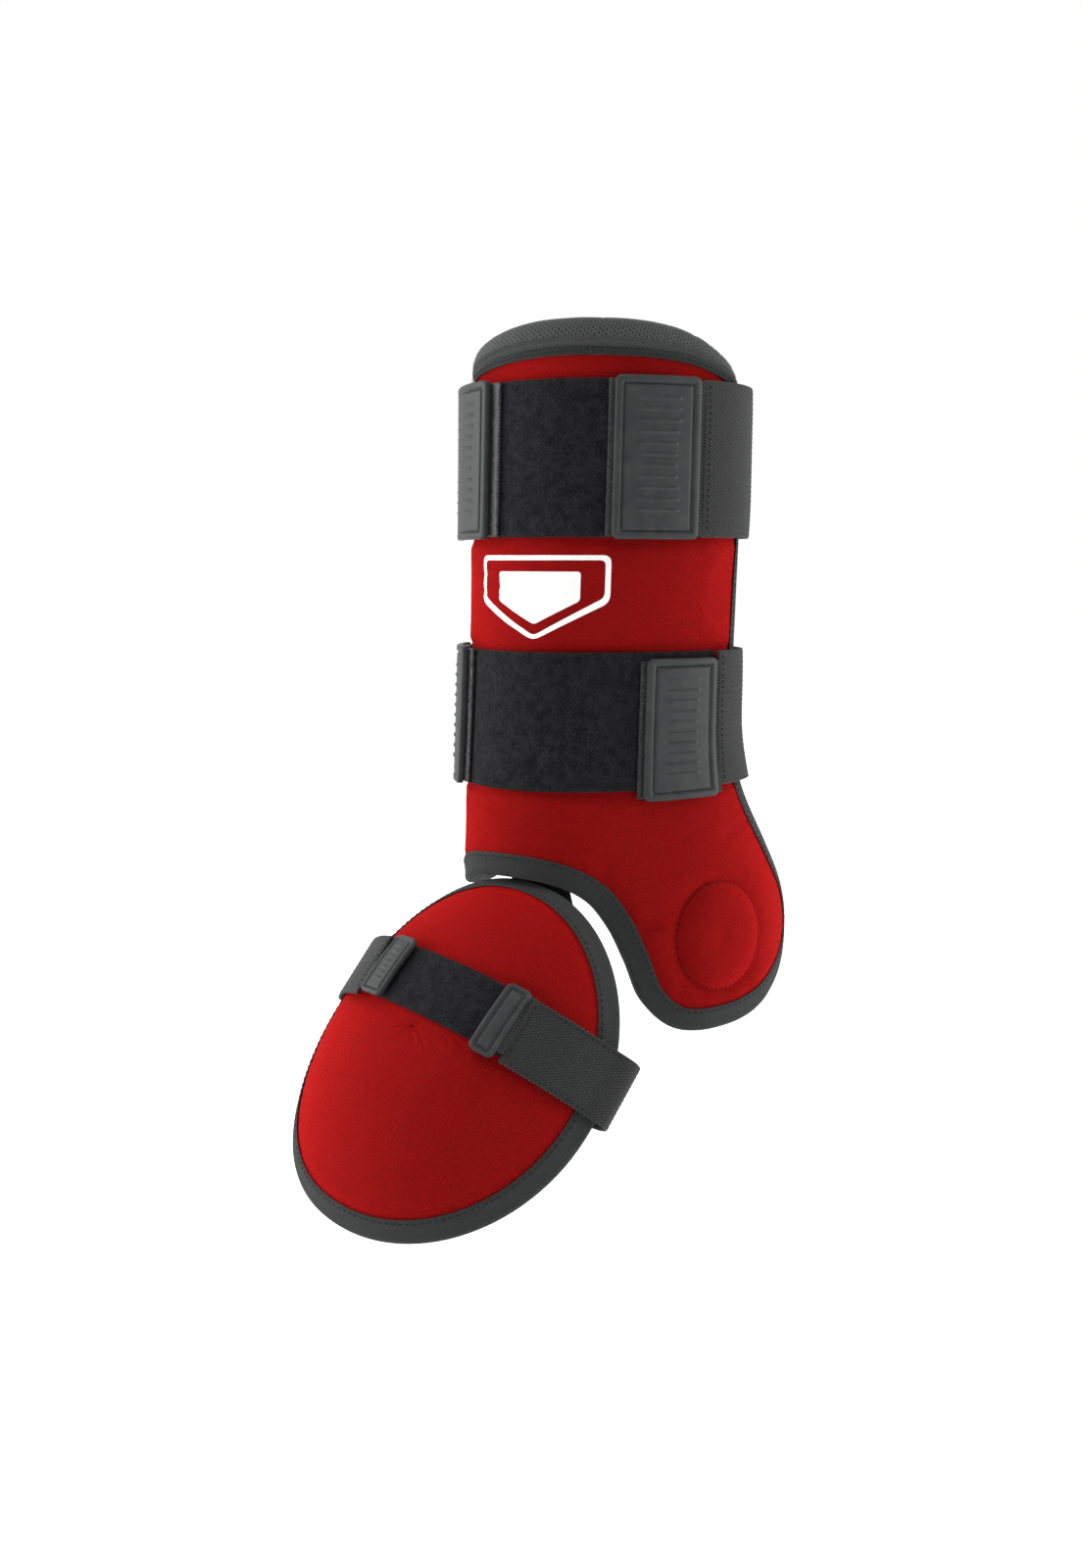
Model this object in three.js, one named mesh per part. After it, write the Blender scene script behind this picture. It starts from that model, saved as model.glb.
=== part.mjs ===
// Batter's leg guard with a detachable foot guard, for the left leg, as an assembly of sewn parts.
// Millimetres, +Z up the leg, -Y towards the toe, +X to the outer side of the leg. The origin is
// the ankle joint on the leg's axis.
import * as THREE from 'three';

// ---- driving dimensions ----
const SHIN = {                 // horizontal half-axes of the cover's outer face
  sideAnkle: 61, sideKnee: 64, frontAnkle: 73, frontKnee: 68, instep: 7,
  back: 65, heel: 36, malleolus: 25, calf: 8,
};
const CHART = 66;              // mm of girth for one radian round the shin
const FOOT = {                 // domed cover over the instep, in its own level plane
  halfLength: 94, halfWidth: 84, crown: 28.5, crownPower: 2.6, sideDrop: 17, squareness: 0.95,
  heel: new THREE.Vector3(23, -66, 21.5), pitch: 50, roll: 11, yaw: -1.8,
};
const GAP = 0.3;               // clearance between touching layers
const EDGE_INSET = 2.4;        // layers stop short of the binding's fold by this much
const BINDING = { width: 10, cloth: 1.1, ease: 0.7 };
const SHIN_LAYERS = { cover: 1.6, hard_shell: 2, foam: 6.2, lining: 1.2 };
const FOOT_LAYERS = { cover: 1.6, hard_shell: 2, foam: 4, lining: 1.2 };
const SHIN_GRID = { columns: 24, rows: 14 };
const FOOT_GRID = { columns: 30, rings: 6 };
const SHELL_MARGIN = { columns: 2, rows: 1, rings: 1 };   // the moulded shell stops this far inside

const PANEL = { lift: 0.7, thick: 1.8 };        // loop fabric sewn on the cover
const HOOK = { lift: 2.9, thick: 1.6 };         // hook patch under a pull tab
const RUBBER = { lift: 4.8, thick: 3.4 };       // moulded pull tab
const ELASTIC = { lift: 5.0, thick: 1.8 };

// Angles are degrees round the leg from the front (-Y) towards the outer side (+X).
const STRAPS = {
  upper: {
    low: 192, high: 266, rightTab: [51, 84], leftTab: [-42, -3], panel: [-46, 88], slack: 9, drop: 0, tuck: 0,
  },
  lower: {
    low: 69, high: 137, rightTab: [66, 95], leftTab: [-56, -19], panel: [-60, 98], slack: 7, drop: 4, tuck: 10,
  },
};
const SEAM = 2;                // open seam between a pull tab and its elastic, where the tab peels
const DISC = { angle: 94, height: -7, radius: 28, thick: 2.2 };
const BADGE = { angle: 20, height: 163, width: 74, tall: 41, thick: 0.5 };
const COLLAR = { from: -0.01, to: 0.188, half: [7, 6], rise: 4 };
const FOOT_STRAP = {
  near: 59, far: 89, wide: 3, rightTab: [32, 43], leftTab: [-38, -22], panel: [-32, 45], sag: 12,
  wrap: { rimX: 86.8, rimZ: -18.5, turnX: 80.8, turnZ: -29, sole: -34.7 },
};
const CONNECTOR = {            // webbing tab between the two guards
  from: 0, to: 38, fold: 28.5, top: 62, half: 22, sewn: 20, past: 12, bend: 6, thick: 1.6, patch: 1.4,
};

// ---- small helpers ----
const rad = THREE.MathUtils.degToRad;
const step = THREE.MathUtils.smoothstep;
const v3 = (x, y, z) => new THREE.Vector3(x, y, z);

// A closed mesh from points and faces (indices, quads split), turned so that its faces point out.
function solid(points, faces) {
  const triangles = faces.flatMap((f) => (f.length === 4 ? [[f[0], f[1], f[2]], [f[0], f[2], f[3]]] : [f]));
  let volume = 0;
  for (const [a, b, c] of triangles) {
    volume += points[a].dot(v3(0, 0, 0).crossVectors(points[b], points[c]));
  }
  const index = triangles.flatMap(([a, b, c]) => (volume > 0 ? [a, b, c] : [a, c, b]));
  const geometry = new THREE.BufferGeometry().setFromPoints(points);
  geometry.setIndex(index);
  geometry.computeVertexNormals();
  return geometry;
}

// A sheet of even thickness: surface(u, v, lift) is sampled on both faces and closed at its rim.
function slab(surface, columns, rows, lift, thick) {
  const points = [];
  const faces = [];
  for (const side of [lift, lift + thick]) {
    for (let j = 0; j <= rows; j += 1) {
      for (let i = 0; i <= columns; i += 1) points.push(surface(i / columns, j / rows, side));
    }
  }
  const at = (i, j, k) => k * (columns + 1) * (rows + 1) + j * (columns + 1) + i;
  for (let j = 0; j < rows; j += 1) {
    for (let i = 0; i < columns; i += 1) {
      faces.push([at(i, j, 0), at(i, j + 1, 0), at(i + 1, j + 1, 0), at(i + 1, j, 0)]);
      faces.push([at(i, j, 1), at(i + 1, j, 1), at(i + 1, j + 1, 1), at(i, j + 1, 1)]);
    }
  }
  for (let i = 0; i < columns; i += 1) {
    faces.push([at(i, 0, 0), at(i + 1, 0, 0), at(i + 1, 0, 1), at(i, 0, 1)]);
    faces.push([at(i + 1, rows, 0), at(i, rows, 0), at(i, rows, 1), at(i + 1, rows, 1)]);
  }
  for (let j = 0; j < rows; j += 1) {
    faces.push([at(0, j + 1, 0), at(0, j, 0), at(0, j, 1), at(0, j + 1, 1)]);
    faces.push([at(columns, j, 0), at(columns, j + 1, 0), at(columns, j + 1, 1), at(columns, j, 1)]);
  }
  return solid(points, faces);
}

// A round sheet of even thickness: surface(turn, share, lift), share 0 at the middle, 1 at the rim.
function roundSlab(surface, columns, rings, lift, thick) {
  const points = [surface(0, 0, lift), surface(0, 0, lift + thick)];
  const faces = [];
  for (const side of [lift, lift + thick]) {
    for (let j = 1; j <= rings; j += 1) {
      for (let i = 0; i < columns; i += 1) points.push(surface(i / columns, j / rings, side));
    }
  }
  const at = (i, j, k) => 2 + (k * rings + j - 1) * columns + (i % columns);
  for (let i = 0; i < columns; i += 1) {
    faces.push([0, at(i + 1, 1, 0), at(i, 1, 0)], [1, at(i, 1, 1), at(i + 1, 1, 1)]);
    for (let j = 1; j < rings; j += 1) {
      faces.push([at(i, j, 0), at(i + 1, j, 0), at(i + 1, j + 1, 0), at(i, j + 1, 0)]);
      faces.push([at(i, j, 1), at(i, j + 1, 1), at(i + 1, j + 1, 1), at(i + 1, j, 1)]);
    }
    faces.push([at(i, rings, 0), at(i + 1, rings, 0), at(i + 1, rings, 1), at(i, rings, 1)]);
  }
  return solid(points, faces);
}

// A section carried round a loop, or along an open run. The second half of the section's points
// runs back alongside the first half, so strips across it cap the ends.
function sweep(sectionAt, steps, closed) {
  const points = [];
  const faces = [];
  const count = closed ? steps : steps + 1;
  for (let k = 0; k < count; k += 1) points.push(...sectionAt(k / steps));
  const size = points.length / count;
  for (let k = 0; k < steps; k += 1) {
    const a = k * size;
    const b = ((k + 1) % count) * size;
    for (let i = 0; i < size; i += 1) {
      const j = (i + 1) % size;
      faces.push([a + i, a + j, b + j, b + i]);
    }
  }
  const last = (count - 1) * size;
  for (let i = 0; i < size / 2 - 1 && !closed; i += 1) {
    const across = [i, i + 1, size - 2 - i, size - 1 - i];
    faces.push([...across].reverse(), across.map((n) => last + n));
  }
  return solid(points, faces);
}

// ---- the shin's surface ----
// A point of the cover's outer face, from the angle round the leg (radians) and the height.
function shinFace(angle, z) {
  const ankle = 1 - step(z, -20, 110);
  const side = SHIN.sideAnkle + (SHIN.sideKnee - SHIN.sideAnkle) * step(z, 60, 300);
  const front = SHIN.frontAnkle + (SHIN.frontKnee - SHIN.frontAnkle) * step(z, 100, 300)
    + SHIN.instep * (1 - step(z, 0, 150));
  const depth = Math.cos(angle) >= 0 ? front : SHIN.back + SHIN.heel * ankle;
  const outerSide = step(angle, rad(50), rad(115)) * (1 - step(angle, rad(170), rad(250)));
  const bulge = SHIN.calf + (SHIN.malleolus - SHIN.calf) * (1 - step(z, -10, 100));
  return v3(side * Math.sin(angle) + bulge * outerSide, -depth * Math.cos(angle), z);
}

// The same face with an offset along its normal. x is mm of girth, y is the height.
function shin(x, y, lift) {
  const d = 0.5;
  const across = shinFace((x + d) / CHART, y).sub(shinFace((x - d) / CHART, y));
  const up = shinFace(x / CHART, y + d).sub(shinFace(x / CHART, y - d));
  const normal = across.cross(up).normalize();
  return shinFace(x / CHART, y).addScaledVector(normal, lift);
}

// How much wider the shin is here than the flat pattern's girth.
const stretch = (x, y) => shinFace((x + 0.5) / CHART, y).distanceTo(shinFace((x - 0.5) / CHART, y));

// The guard's flat pattern: [degrees round the leg, height], clockwise from the upper inner corner.
const OUTLINE = [
  [-77, 252], [-46, 269], [-2, 277.5], [44, 280], [90, 275], [124, 257],
  [130, 215], [125, 165], [121, 110], [121, 66], [131, 34], [141, 5], [136, -26],
  [117, -45], [97, -54], [79, -53], [68, -39], [62, -18], [56, 0], [48, 13.5], [35, 22],
  [14, 25.5], [-12, 23], [-42, 12], [-70, 14],
  [-79, 70], [-81, 130], [-81, 200],
];
const CORNERS = [0, 5, 12, 24];        // upper inner, upper outer, lower outer, lower inner

const outlineCurve = new THREE.CatmullRomCurve3(
  OUTLINE.map(([angle, z]) => v3(rad(angle) * CHART, z, 0)), true, 'centripetal',
);
const OUTLINE_SAMPLES = 720;
const outlineTable = Array.from({ length: OUTLINE_SAMPLES }, (_, k) => (
  outlineCurve.getPoint(k / OUTLINE_SAMPLES)));

// The point at share (any number, wraps) of the outline, moved inwards by inset.
function patternEdge(share, inset) {
  const s = (share - Math.floor(share)) * OUTLINE_SAMPLES;
  const k = Math.floor(s) % OUTLINE_SAMPLES;
  const at = (n) => outlineTable[(n + OUTLINE_SAMPLES) % OUTLINE_SAMPLES];
  const point = at(k).clone().lerp(at(k + 1), s - Math.floor(s));
  const wide = stretch(point.x, point.y);
  const along = at(k + 4).clone().sub(at(k - 3)).multiply(v3(wide, 1, 1)).normalize();
  return point.add(v3(along.y / wide, -along.x, 0).multiplyScalar(inset));
}

// One side of the pattern between two corners, evened out by length.
function patternSide(from, to, inset) {
  const n = 120;
  const a = CORNERS[from] / OUTLINE.length;
  const b = (CORNERS[to] + (to === 0 ? OUTLINE.length : 0)) / OUTLINE.length;
  const points = Array.from({ length: n + 1 }, (_, k) => patternEdge(a + ((b - a) * k) / n, inset));
  const lengths = [0];
  for (let k = 1; k <= n; k += 1) lengths.push(lengths[k - 1] + points[k].distanceTo(points[k - 1]));
  return (share) => {
    const want = share * lengths[n];
    let k = 1;
    while (k < n && lengths[k] < want) k += 1;
    const part = (want - lengths[k - 1]) / (lengths[k] - lengths[k - 1]);
    return points[k - 1].clone().lerp(points[k], part);
  };
}

// The whole pattern, filled in between its four sides, as a sheet wrapped on the shin.
function shinSheet(inset) {
  const top = patternSide(0, 1, inset);
  const outer = patternSide(1, 2, inset);
  const bottom = patternSide(2, 3, inset);
  const inner = patternSide(3, 0, inset);
  const corner = [top(0), top(1), bottom(0), bottom(1)];
  return (u, v, lift) => {
    const t = top(u);
    const b = bottom(1 - u);
    const l = inner(1 - v);
    const r = outer(v);
    const mix = (key) => (1 - v) * t[key] + v * b[key] + (1 - u) * l[key] + u * r[key]
      - (1 - u) * (1 - v) * corner[0][key] - u * (1 - v) * corner[1][key]
      - u * v * corner[2][key] - (1 - u) * v * corner[3][key];
    return shin(mix('x'), mix('y'), lift);
  };
}

// ---- the foot guard's surface, in its own frame: x outwards, y backwards, z away from the foot ----
function footFace(turn, share) {
  const a = turn * 2 * Math.PI;
  const rimX = FOOT.halfWidth * Math.sign(Math.sin(a)) * Math.abs(Math.sin(a)) ** FOOT.squareness;
  const rimY = FOOT.halfLength * Math.cos(a);
  const crown = FOOT.crown * (1 - share ** FOOT.crownPower);
  const drop = FOOT.sideDrop * (share * rimX / FOOT.halfWidth) ** 2;
  return v3(rimX * share, rimY * share - FOOT.halfLength, crown - drop);
}

function foot(turn, share, lift) {
  const s = Math.max(share, 0.01);
  const round = footFace(turn + 0.002, s).sub(footFace(turn - 0.002, s));
  const out = footFace(turn, s + 0.004).sub(footFace(turn, s - 0.004));
  const normal = out.cross(round).normalize();
  if (normal.z < 0) normal.negate();
  return footFace(turn, share).addScaledVector(normal, lift);
}

// How far in from the rim, as a share of the radius, a strip of this width reaches.
function footShare(turn, inset) {
  const rim = footFace(turn, 1);
  let share = 1;
  while (rim.distanceTo(footFace(turn, share)) < inset) share -= 0.0005;
  return share;
}

const footSheet = (inset) => (turn, share, lift) => foot(turn, share * footShare(turn, inset), lift);

// A point of the dome over the place (x, y) of the level plane.
function footAt(x, y, lift) {
  const dy = y + FOOT.halfLength;
  let turn = Math.atan2(x / FOOT.halfWidth, dy / FOOT.halfLength) / (2 * Math.PI);
  for (let k = 0; k < 12; k += 1) {         // the outline isn't quite an ellipse
    const rim = footFace(turn, 1);
    const error = Math.atan2(x, dy) - Math.atan2(rim.x, rim.y + FOOT.halfLength);
    turn += error / (2 * Math.PI);
  }
  const rim = footFace(turn, 1);
  return foot(turn, Math.hypot(x, dy) / Math.hypot(rim.x, rim.y + FOOT.halfLength), lift);
}

// ---- sewn edges ----
// Folded tape: a channel over the edge of a stack that is `stack` deep, open towards the middle.
// edge(share, inset, lift) gives a point at `inset` from the edge. A strongly domed stack needs
// more than one step across the tape.
function bindingTape(edge, stack, { steps, across = 1, from = 0, to = 1 }) {
  const { width, cloth, ease } = BINDING;
  const insets = Array.from({ length: across }, (_, k) => width * (1 - k / across));
  const face = (fold, lift) => [...insets, fold].map((inset) => [inset, lift]);
  const outside = [...face(0, ease + cloth), ...face(0, -stack - ease - cloth).reverse()];
  const inside = [...face(cloth, ease), ...face(cloth, -stack - ease).reverse()];
  const profile = [...outside, ...inside.reverse()];
  const section = (share) => profile.map(([inset, lift]) => edge(from + (to - from) * share, inset, lift));
  return sweep(section, steps, to - from === 1);
}

// ---- materials ----
const material = (color, roughness) => new THREE.MeshStandardMaterial({ color, roughness, metalness: 0 });
const RED = material(0xb3161a, 0.85);
const BLACK_CLOTH = material(0x2b2d2f, 0.9);
const BLACK_LOOP = material(0x1b1c20, 1);
const BLACK_RUBBER = material(0x2e3032, 0.55);
const BLACK_MESH = material(0x232526, 0.9);
const SHELL_PLASTIC = material(0x3a3c40, 0.4);
const FOAM = material(0xc9c6bd, 0.95);
const WHITE = material(0xf2f2f0, 0.6);

const guard = new THREE.Group();
const footGuard = new THREE.Group();
footGuard.position.copy(FOOT.heel);
footGuard.rotation.set(rad(FOOT.pitch), rad(FOOT.roll), rad(FOOT.yaw));
guard.add(footGuard);

function add(group, name, geometry, finish) {
  const mesh = new THREE.Mesh(geometry, finish);
  mesh.name = name;
  group.add(mesh);
}

// ---- shin: the sewn stack of layers ----
const FINISH = { cover: RED, hard_shell: SHELL_PLASTIC, foam: FOAM, lining: BLACK_MESH };

function stackLayers(layers, build) {
  let depth = 0;
  for (const [layer, thick] of Object.entries(layers)) {
    depth += thick;
    build(layer, -depth, thick);
    depth += GAP;
  }
  return depth - GAP;
}

const shinWhole = shinSheet(EDGE_INSET);
const shinStack = stackLayers(SHIN_LAYERS, (layer, lift, thick) => {
  const { columns, rows } = SHIN_GRID;
  const dc = layer === 'hard_shell' ? SHELL_MARGIN.columns : 0;
  const dr = layer === 'hard_shell' ? SHELL_MARGIN.rows : 0;
  const face = (u, v, d) => shinWhole(
    (dc + u * (columns - 2 * dc)) / columns, (dr + v * (rows - 2 * dr)) / rows, d,
  );
  add(guard, `shin_${layer}`, slab(face, columns - 2 * dc, rows - 2 * dr, lift, thick), FINISH[layer]);
});

const shinEdge = (share, inset, lift) => {
  const p = patternEdge(share, inset);
  return shin(p.x, p.y, lift);
};
const bindingRun = { steps: 88, from: COLLAR.to + 0.004, to: 0.996 + COLLAR.from };
add(guard, 'shin_binding', bindingTape(shinEdge, shinStack, bindingRun), BLACK_CLOTH);

// Rolled, padded collar along the inside of the top edge.
function collar() {
  const [rx, rz] = COLLAR.half;
  const sides = 8;
  return sweep((share) => {
    const edge = patternEdge(COLLAR.from + (COLLAR.to - COLLAR.from) * share, 0);
    const taper = 0.28 + 0.72 * step(share, 0, 0.5) * (1 - step(share, 0.62, 1.04));
    return Array.from({ length: sides }, (_, k) => {
      const a = ((k + 0.5) / sides) * 2 * Math.PI;
      const up = (Math.sin(a) + 1) * rz + (Math.sin(a) > 0 ? COLLAR.rise : 0);
      return shin(edge.x, edge.y + up * taper - EDGE_INSET + GAP, rx * Math.cos(a) - shinStack / 2);
    });
  }, 26, false);
}
add(guard, 'top_collar', collar(), BLACK_MESH);

// ---- shin: what is sewn on the cover ----
const band = (fromAngle, toAngle, low, high) => (u, v, lift) => (
  shin(rad(fromAngle + (toAngle - fromAngle) * u) * CHART, high + (low - high) * v, lift));

const discX = rad(DISC.angle) * CHART;
const discWide = stretch(discX, DISC.height);
const discFace = (turn, share, lift) => shin(
  discX + (DISC.radius * share * Math.cos(turn * 2 * Math.PI)) / discWide,
  DISC.height + DISC.radius * share * Math.sin(turn * 2 * Math.PI), lift,
);
add(guard, 'ankle_disc', roundSlab(discFace, 24, 3, PANEL.lift, DISC.thick), RED);

// A printed home-plate emblem: a solid pentagon inside an outline, both flat on the cover.
function plateOutline(scale) {
  const w = (BADGE.width / 2) * scale;
  const h = (BADGE.tall / 2) * scale;
  return [[-w, h], [w, h], [w, -0.1 * h], [0, -h], [-w, -0.1 * h]];
}

function badge() {
  const corners = plateOutline(1);
  const middle = rad(BADGE.angle) * CHART;
  const face = (turn, share, lift) => {
    const s = turn * corners.length;
    const k = Math.floor(s) % corners.length;
    const next = corners[(k + 1) % corners.length];
    const x = corners[k][0] + (next[0] - corners[k][0]) * (s - Math.floor(s));
    const y = corners[k][1] + (next[1] - corners[k][1]) * (s - Math.floor(s));
    return shin(middle + x * share, BADGE.height + y * share, lift);
  };
  return roundSlab(face, corners.length * 5, 4, PANEL.lift + 0.1, BADGE.thick);
}
add(guard, 'printed_badge', badge(), WHITE);

// Two straps: a loop panel on the shin, elastic round the calf, and a pull tab on each end.
function elastic(strap) {
  const seam = THREE.MathUtils.radToDeg(SEAM / CHART);
  const from = strap.rightTab[1] + seam;
  const to = 360 + strap.leftTab[0] - seam;
  const face = (u, v, lift) => {
    const angle = from + (to - from) * u;
    const height = strap.high + (strap.low - strap.high) * v;
    const flare = (SHIN.malleolus - SHIN.calf) * (1 - step(height, -10, 100));
    const pulled = flare * Math.sin(rad(angle)) * step(angle, 124, 140) * (1 - step(angle, 170, 180));
    const tuck = strap.tuck * step(angle, 116, 140) * (1 - step(angle, 160, 200));
    const slack = strap.slack * Math.sin(Math.PI * u) ** 4;
    return shin(rad(angle) * CHART, height, lift - slack - pulled - tuck);
  };
  return slab(face, 30, 2, ELASTIC.lift, ELASTIC.thick);
}

for (const [name, strap] of Object.entries(STRAPS)) {
  const { low, high } = strap;
  const panel = band(...strap.panel, low, high);
  add(guard, `${name}_loop_panel`, slab(panel, 18, 2, PANEL.lift, PANEL.thick), BLACK_LOOP);
  add(guard, `${name}_elastic`, elastic(strap), BLACK_CLOTH);
  for (const side of ['left', 'right']) {
    const [from, to] = strap[`${side}Tab`];
    const drop = side === 'right' ? strap.drop : 0;
    const face = band(from, to, low - 1 - drop, high + 1 - drop);
    const patch = band(from + 3, to - 3, low + 3, high - 3 - drop);
    add(guard, `${name}_${side}_pull_tab`, slab(face, 6, 2, RUBBER.lift, RUBBER.thick), BLACK_RUBBER);
    add(guard, `${name}_${side}_hook_patch`, slab(patch, 6, 2, HOOK.lift, HOOK.thick), BLACK_LOOP);
  }
}

// ---- foot guard ----
const footWhole = footSheet(EDGE_INSET);
const footStack = stackLayers(FOOT_LAYERS, (layer, lift, thick) => {
  const { columns, rings } = FOOT_GRID;
  const kept = rings - (layer === 'hard_shell' ? SHELL_MARGIN.rings : 0);
  const face = (turn, share, d) => footWhole(turn, (share * kept) / rings, d);
  add(footGuard, `foot_${layer}`, roundSlab(face, columns, kept, lift, thick), FINISH[layer]);
});
const footEdge = (turn, inset, lift) => foot(turn, footShare(turn, inset), lift);
add(footGuard, 'foot_binding', bindingTape(footEdge, footStack, { steps: 60, across: 2 }), BLACK_CLOTH);

const footBand = (fromX, toX, near, far) => (u, v, lift) => (
  footAt(fromX + (toX - fromX) * u, -(near + (far - near) * v), lift));

const { near, far } = FOOT_STRAP;
add(footGuard, 'foot_loop_strip',
  slab(footBand(...FOOT_STRAP.panel, near, far), 10, 2, PANEL.lift, PANEL.thick), BLACK_LOOP);
for (const side of ['left', 'right']) {
  const [from, to] = FOOT_STRAP[`${side}Tab`];
  const face = footBand(from, to, near - 1, far + 1 + (side === 'right' ? FOOT_STRAP.wide : 0));
  const patch = footBand(from + 1.5, to - 1.5, near + 2, far - 2);
  add(footGuard, `foot_${side}_pull_tab`, slab(face, 3, 2, RUBBER.lift, RUBBER.thick - 0.8), BLACK_RUBBER);
  add(footGuard, `foot_${side}_hook_patch`, slab(patch, 3, 2, HOOK.lift, HOOK.thick), BLACK_LOOP);
}

// Elastic from one pull tab over the rim, under the sole and back up to the other tab.
function footElastic() {
  const middle = -(near + far) / 2;
  const over = [ELASTIC.lift, ELASTIC.lift - 0.6, ELASTIC.lift - 1.4, ELASTIC.lift - 2];
  const dome = (xs) => xs.map((x, k) => footAt(x, middle, over[Math.min(k, over.length - 1)]));
  const right = dome([FOOT_STRAP.rightTab[1] + SEAM, 62, 70, 77]);
  const left = dome([FOOT_STRAP.leftTab[0] - SEAM, -52, -66, -77]).reverse();
  const { rimX, rimZ, turnX, turnZ, sole } = FOOT_STRAP.wrap;
  const half = [
    v3(rimX, middle, rimZ), v3(turnX, middle, turnZ),
    v3(44, middle, sole - FOOT_STRAP.sag * 0.7), v3(0, middle, sole - FOOT_STRAP.sag),
  ];
  const back = half.slice(0, -1).reverse().map((p) => v3(-p.x, p.y, p.z));
  const curve = new THREE.CatmullRomCurve3([...right, ...half, ...back, ...left], false, 'centripetal');
  const face = (u, v, lift) => {
    const p = curve.getPointAt(u);
    const t = curve.getTangentAt(u);
    const out = v3(-t.z, 0, t.x).normalize();
    if (out.dot(v3(p.x, 0, p.z + 18)) < 0) out.negate();
    return p.setY(-near - (far + FOOT_STRAP.wide - near) * v).addScaledVector(out, lift);
  };
  return slab(face, 48, 1, 0, ELASTIC.thick);
}
add(footGuard, 'foot_elastic', footElastic(), BLACK_CLOTH);

// ---- connector: a webbing tab on the foot guard grips a loop patch inside the shin guard ----
const liningFace = -shinStack - 3 * GAP;
const grip = band(CONNECTOR.from - 5, CONNECTOR.to + 5, CONNECTOR.fold + 14, CONNECTOR.top + 6);
add(guard, 'connector_loop_patch',
  slab(grip, 6, 3, liningFace - CONNECTOR.patch, CONNECTOR.patch), BLACK_LOOP);
const upper = band(CONNECTOR.from, CONNECTOR.to, CONNECTOR.fold, CONNECTOR.top);
const upperLift = liningFace - CONNECTOR.patch - 2 * GAP - CONNECTOR.thick;
add(guard, 'connector_upper_tab', slab(upper, 6, 3, upperLift, CONNECTOR.thick), BLACK_CLOTH);

// The lower half is sewn under the foot guard's heel edge and turns up behind the rim.
function connectorLower() {
  const { half, sewn, past, bend, thick } = CONNECTOR;
  const under = -footStack - BINDING.ease - BINDING.cloth - 3 * GAP - thick;
  const upright = v3(0, Math.sin(rad(FOOT.pitch)), Math.cos(rad(FOOT.pitch)));
  const face = (u, v, lift) => {
    const x = half * (2 * u - 1);
    const turn = Math.asin(x / FOOT.halfWidth) / (2 * Math.PI);
    const inset = sewn - (sewn + past) * v;
    if (inset > 0.5) return footEdge(turn, inset, lift);
    const out = footEdge(turn, 0.5, under).sub(footEdge(turn, 2, under)).normalize();
    const turned = step(0.5 - inset, 0, bend);
    const way = out.multiplyScalar(1 - turned).addScaledVector(upright, turned).normalize();
    return footEdge(turn, 0.5, lift).addScaledVector(way, 0.5 - inset);
  };
  return slab(face, 4, 8, under, thick);
}
add(footGuard, 'connector_lower_tab', connectorLower(), BLACK_CLOTH);

export default guard;
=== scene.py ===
"""Looks for a batter's leg guard with a foot guard: sewn cloth, elastic and moulded rubber.

Shapes are worked out in millimetres on two curved surfaces, the shin's and the foot dome's, the
same two that the frame's solids were made on, and turned into metres when a mesh is made.
"""
import math

import bpy
import numpy as np
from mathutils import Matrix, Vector
from mathutils.bvhtree import BVHTree


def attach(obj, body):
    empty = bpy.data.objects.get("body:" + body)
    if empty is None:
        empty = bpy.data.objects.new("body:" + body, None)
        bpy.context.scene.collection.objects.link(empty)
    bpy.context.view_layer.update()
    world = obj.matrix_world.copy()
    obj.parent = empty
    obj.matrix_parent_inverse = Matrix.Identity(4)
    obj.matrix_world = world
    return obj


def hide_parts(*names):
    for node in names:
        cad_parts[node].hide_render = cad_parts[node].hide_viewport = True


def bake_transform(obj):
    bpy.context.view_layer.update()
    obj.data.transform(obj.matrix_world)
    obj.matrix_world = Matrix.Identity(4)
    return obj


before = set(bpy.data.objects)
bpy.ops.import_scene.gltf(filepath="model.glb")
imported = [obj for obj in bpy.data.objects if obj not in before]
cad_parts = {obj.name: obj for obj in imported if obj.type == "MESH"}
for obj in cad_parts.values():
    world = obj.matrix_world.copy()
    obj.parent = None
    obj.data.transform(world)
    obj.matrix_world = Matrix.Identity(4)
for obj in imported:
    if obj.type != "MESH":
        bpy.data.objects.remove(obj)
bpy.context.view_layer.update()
MM = 0.001

# ---- camera ----
CAMERA = {"azimuth": 45, "distance": 0.7875, "height": 0.1817, "yaw": -2.35, "pitch": -8.6,
          "focal_per_height": 0.94875}


def add_camera():
    a = math.radians(CAMERA["azimuth"])
    yaw, pitch = math.radians(CAMERA["yaw"]), math.radians(CAMERA["pitch"])
    back = Vector((math.sin(a), -math.cos(a), 0))
    right = Vector((math.cos(a), math.sin(a), 0))
    level = -back * math.cos(yaw) + right * math.sin(yaw)
    look = level * math.cos(pitch) + Vector((0, 0, 1)) * math.sin(pitch)
    camera = bpy.data.objects.new("camera", bpy.data.cameras.new("camera"))
    camera.data.sensor_fit = "VERTICAL"
    camera.data.sensor_height = 32
    camera.data.lens = 32 * CAMERA["focal_per_height"]
    camera.location = back * CAMERA["distance"] + Vector((0, 0, CAMERA["height"]))
    camera.rotation_euler = look.to_track_quat("-Z", "Y").to_euler()
    bpy.context.collection.objects.link(camera)
    bpy.context.scene.camera = camera


add_camera()

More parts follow.
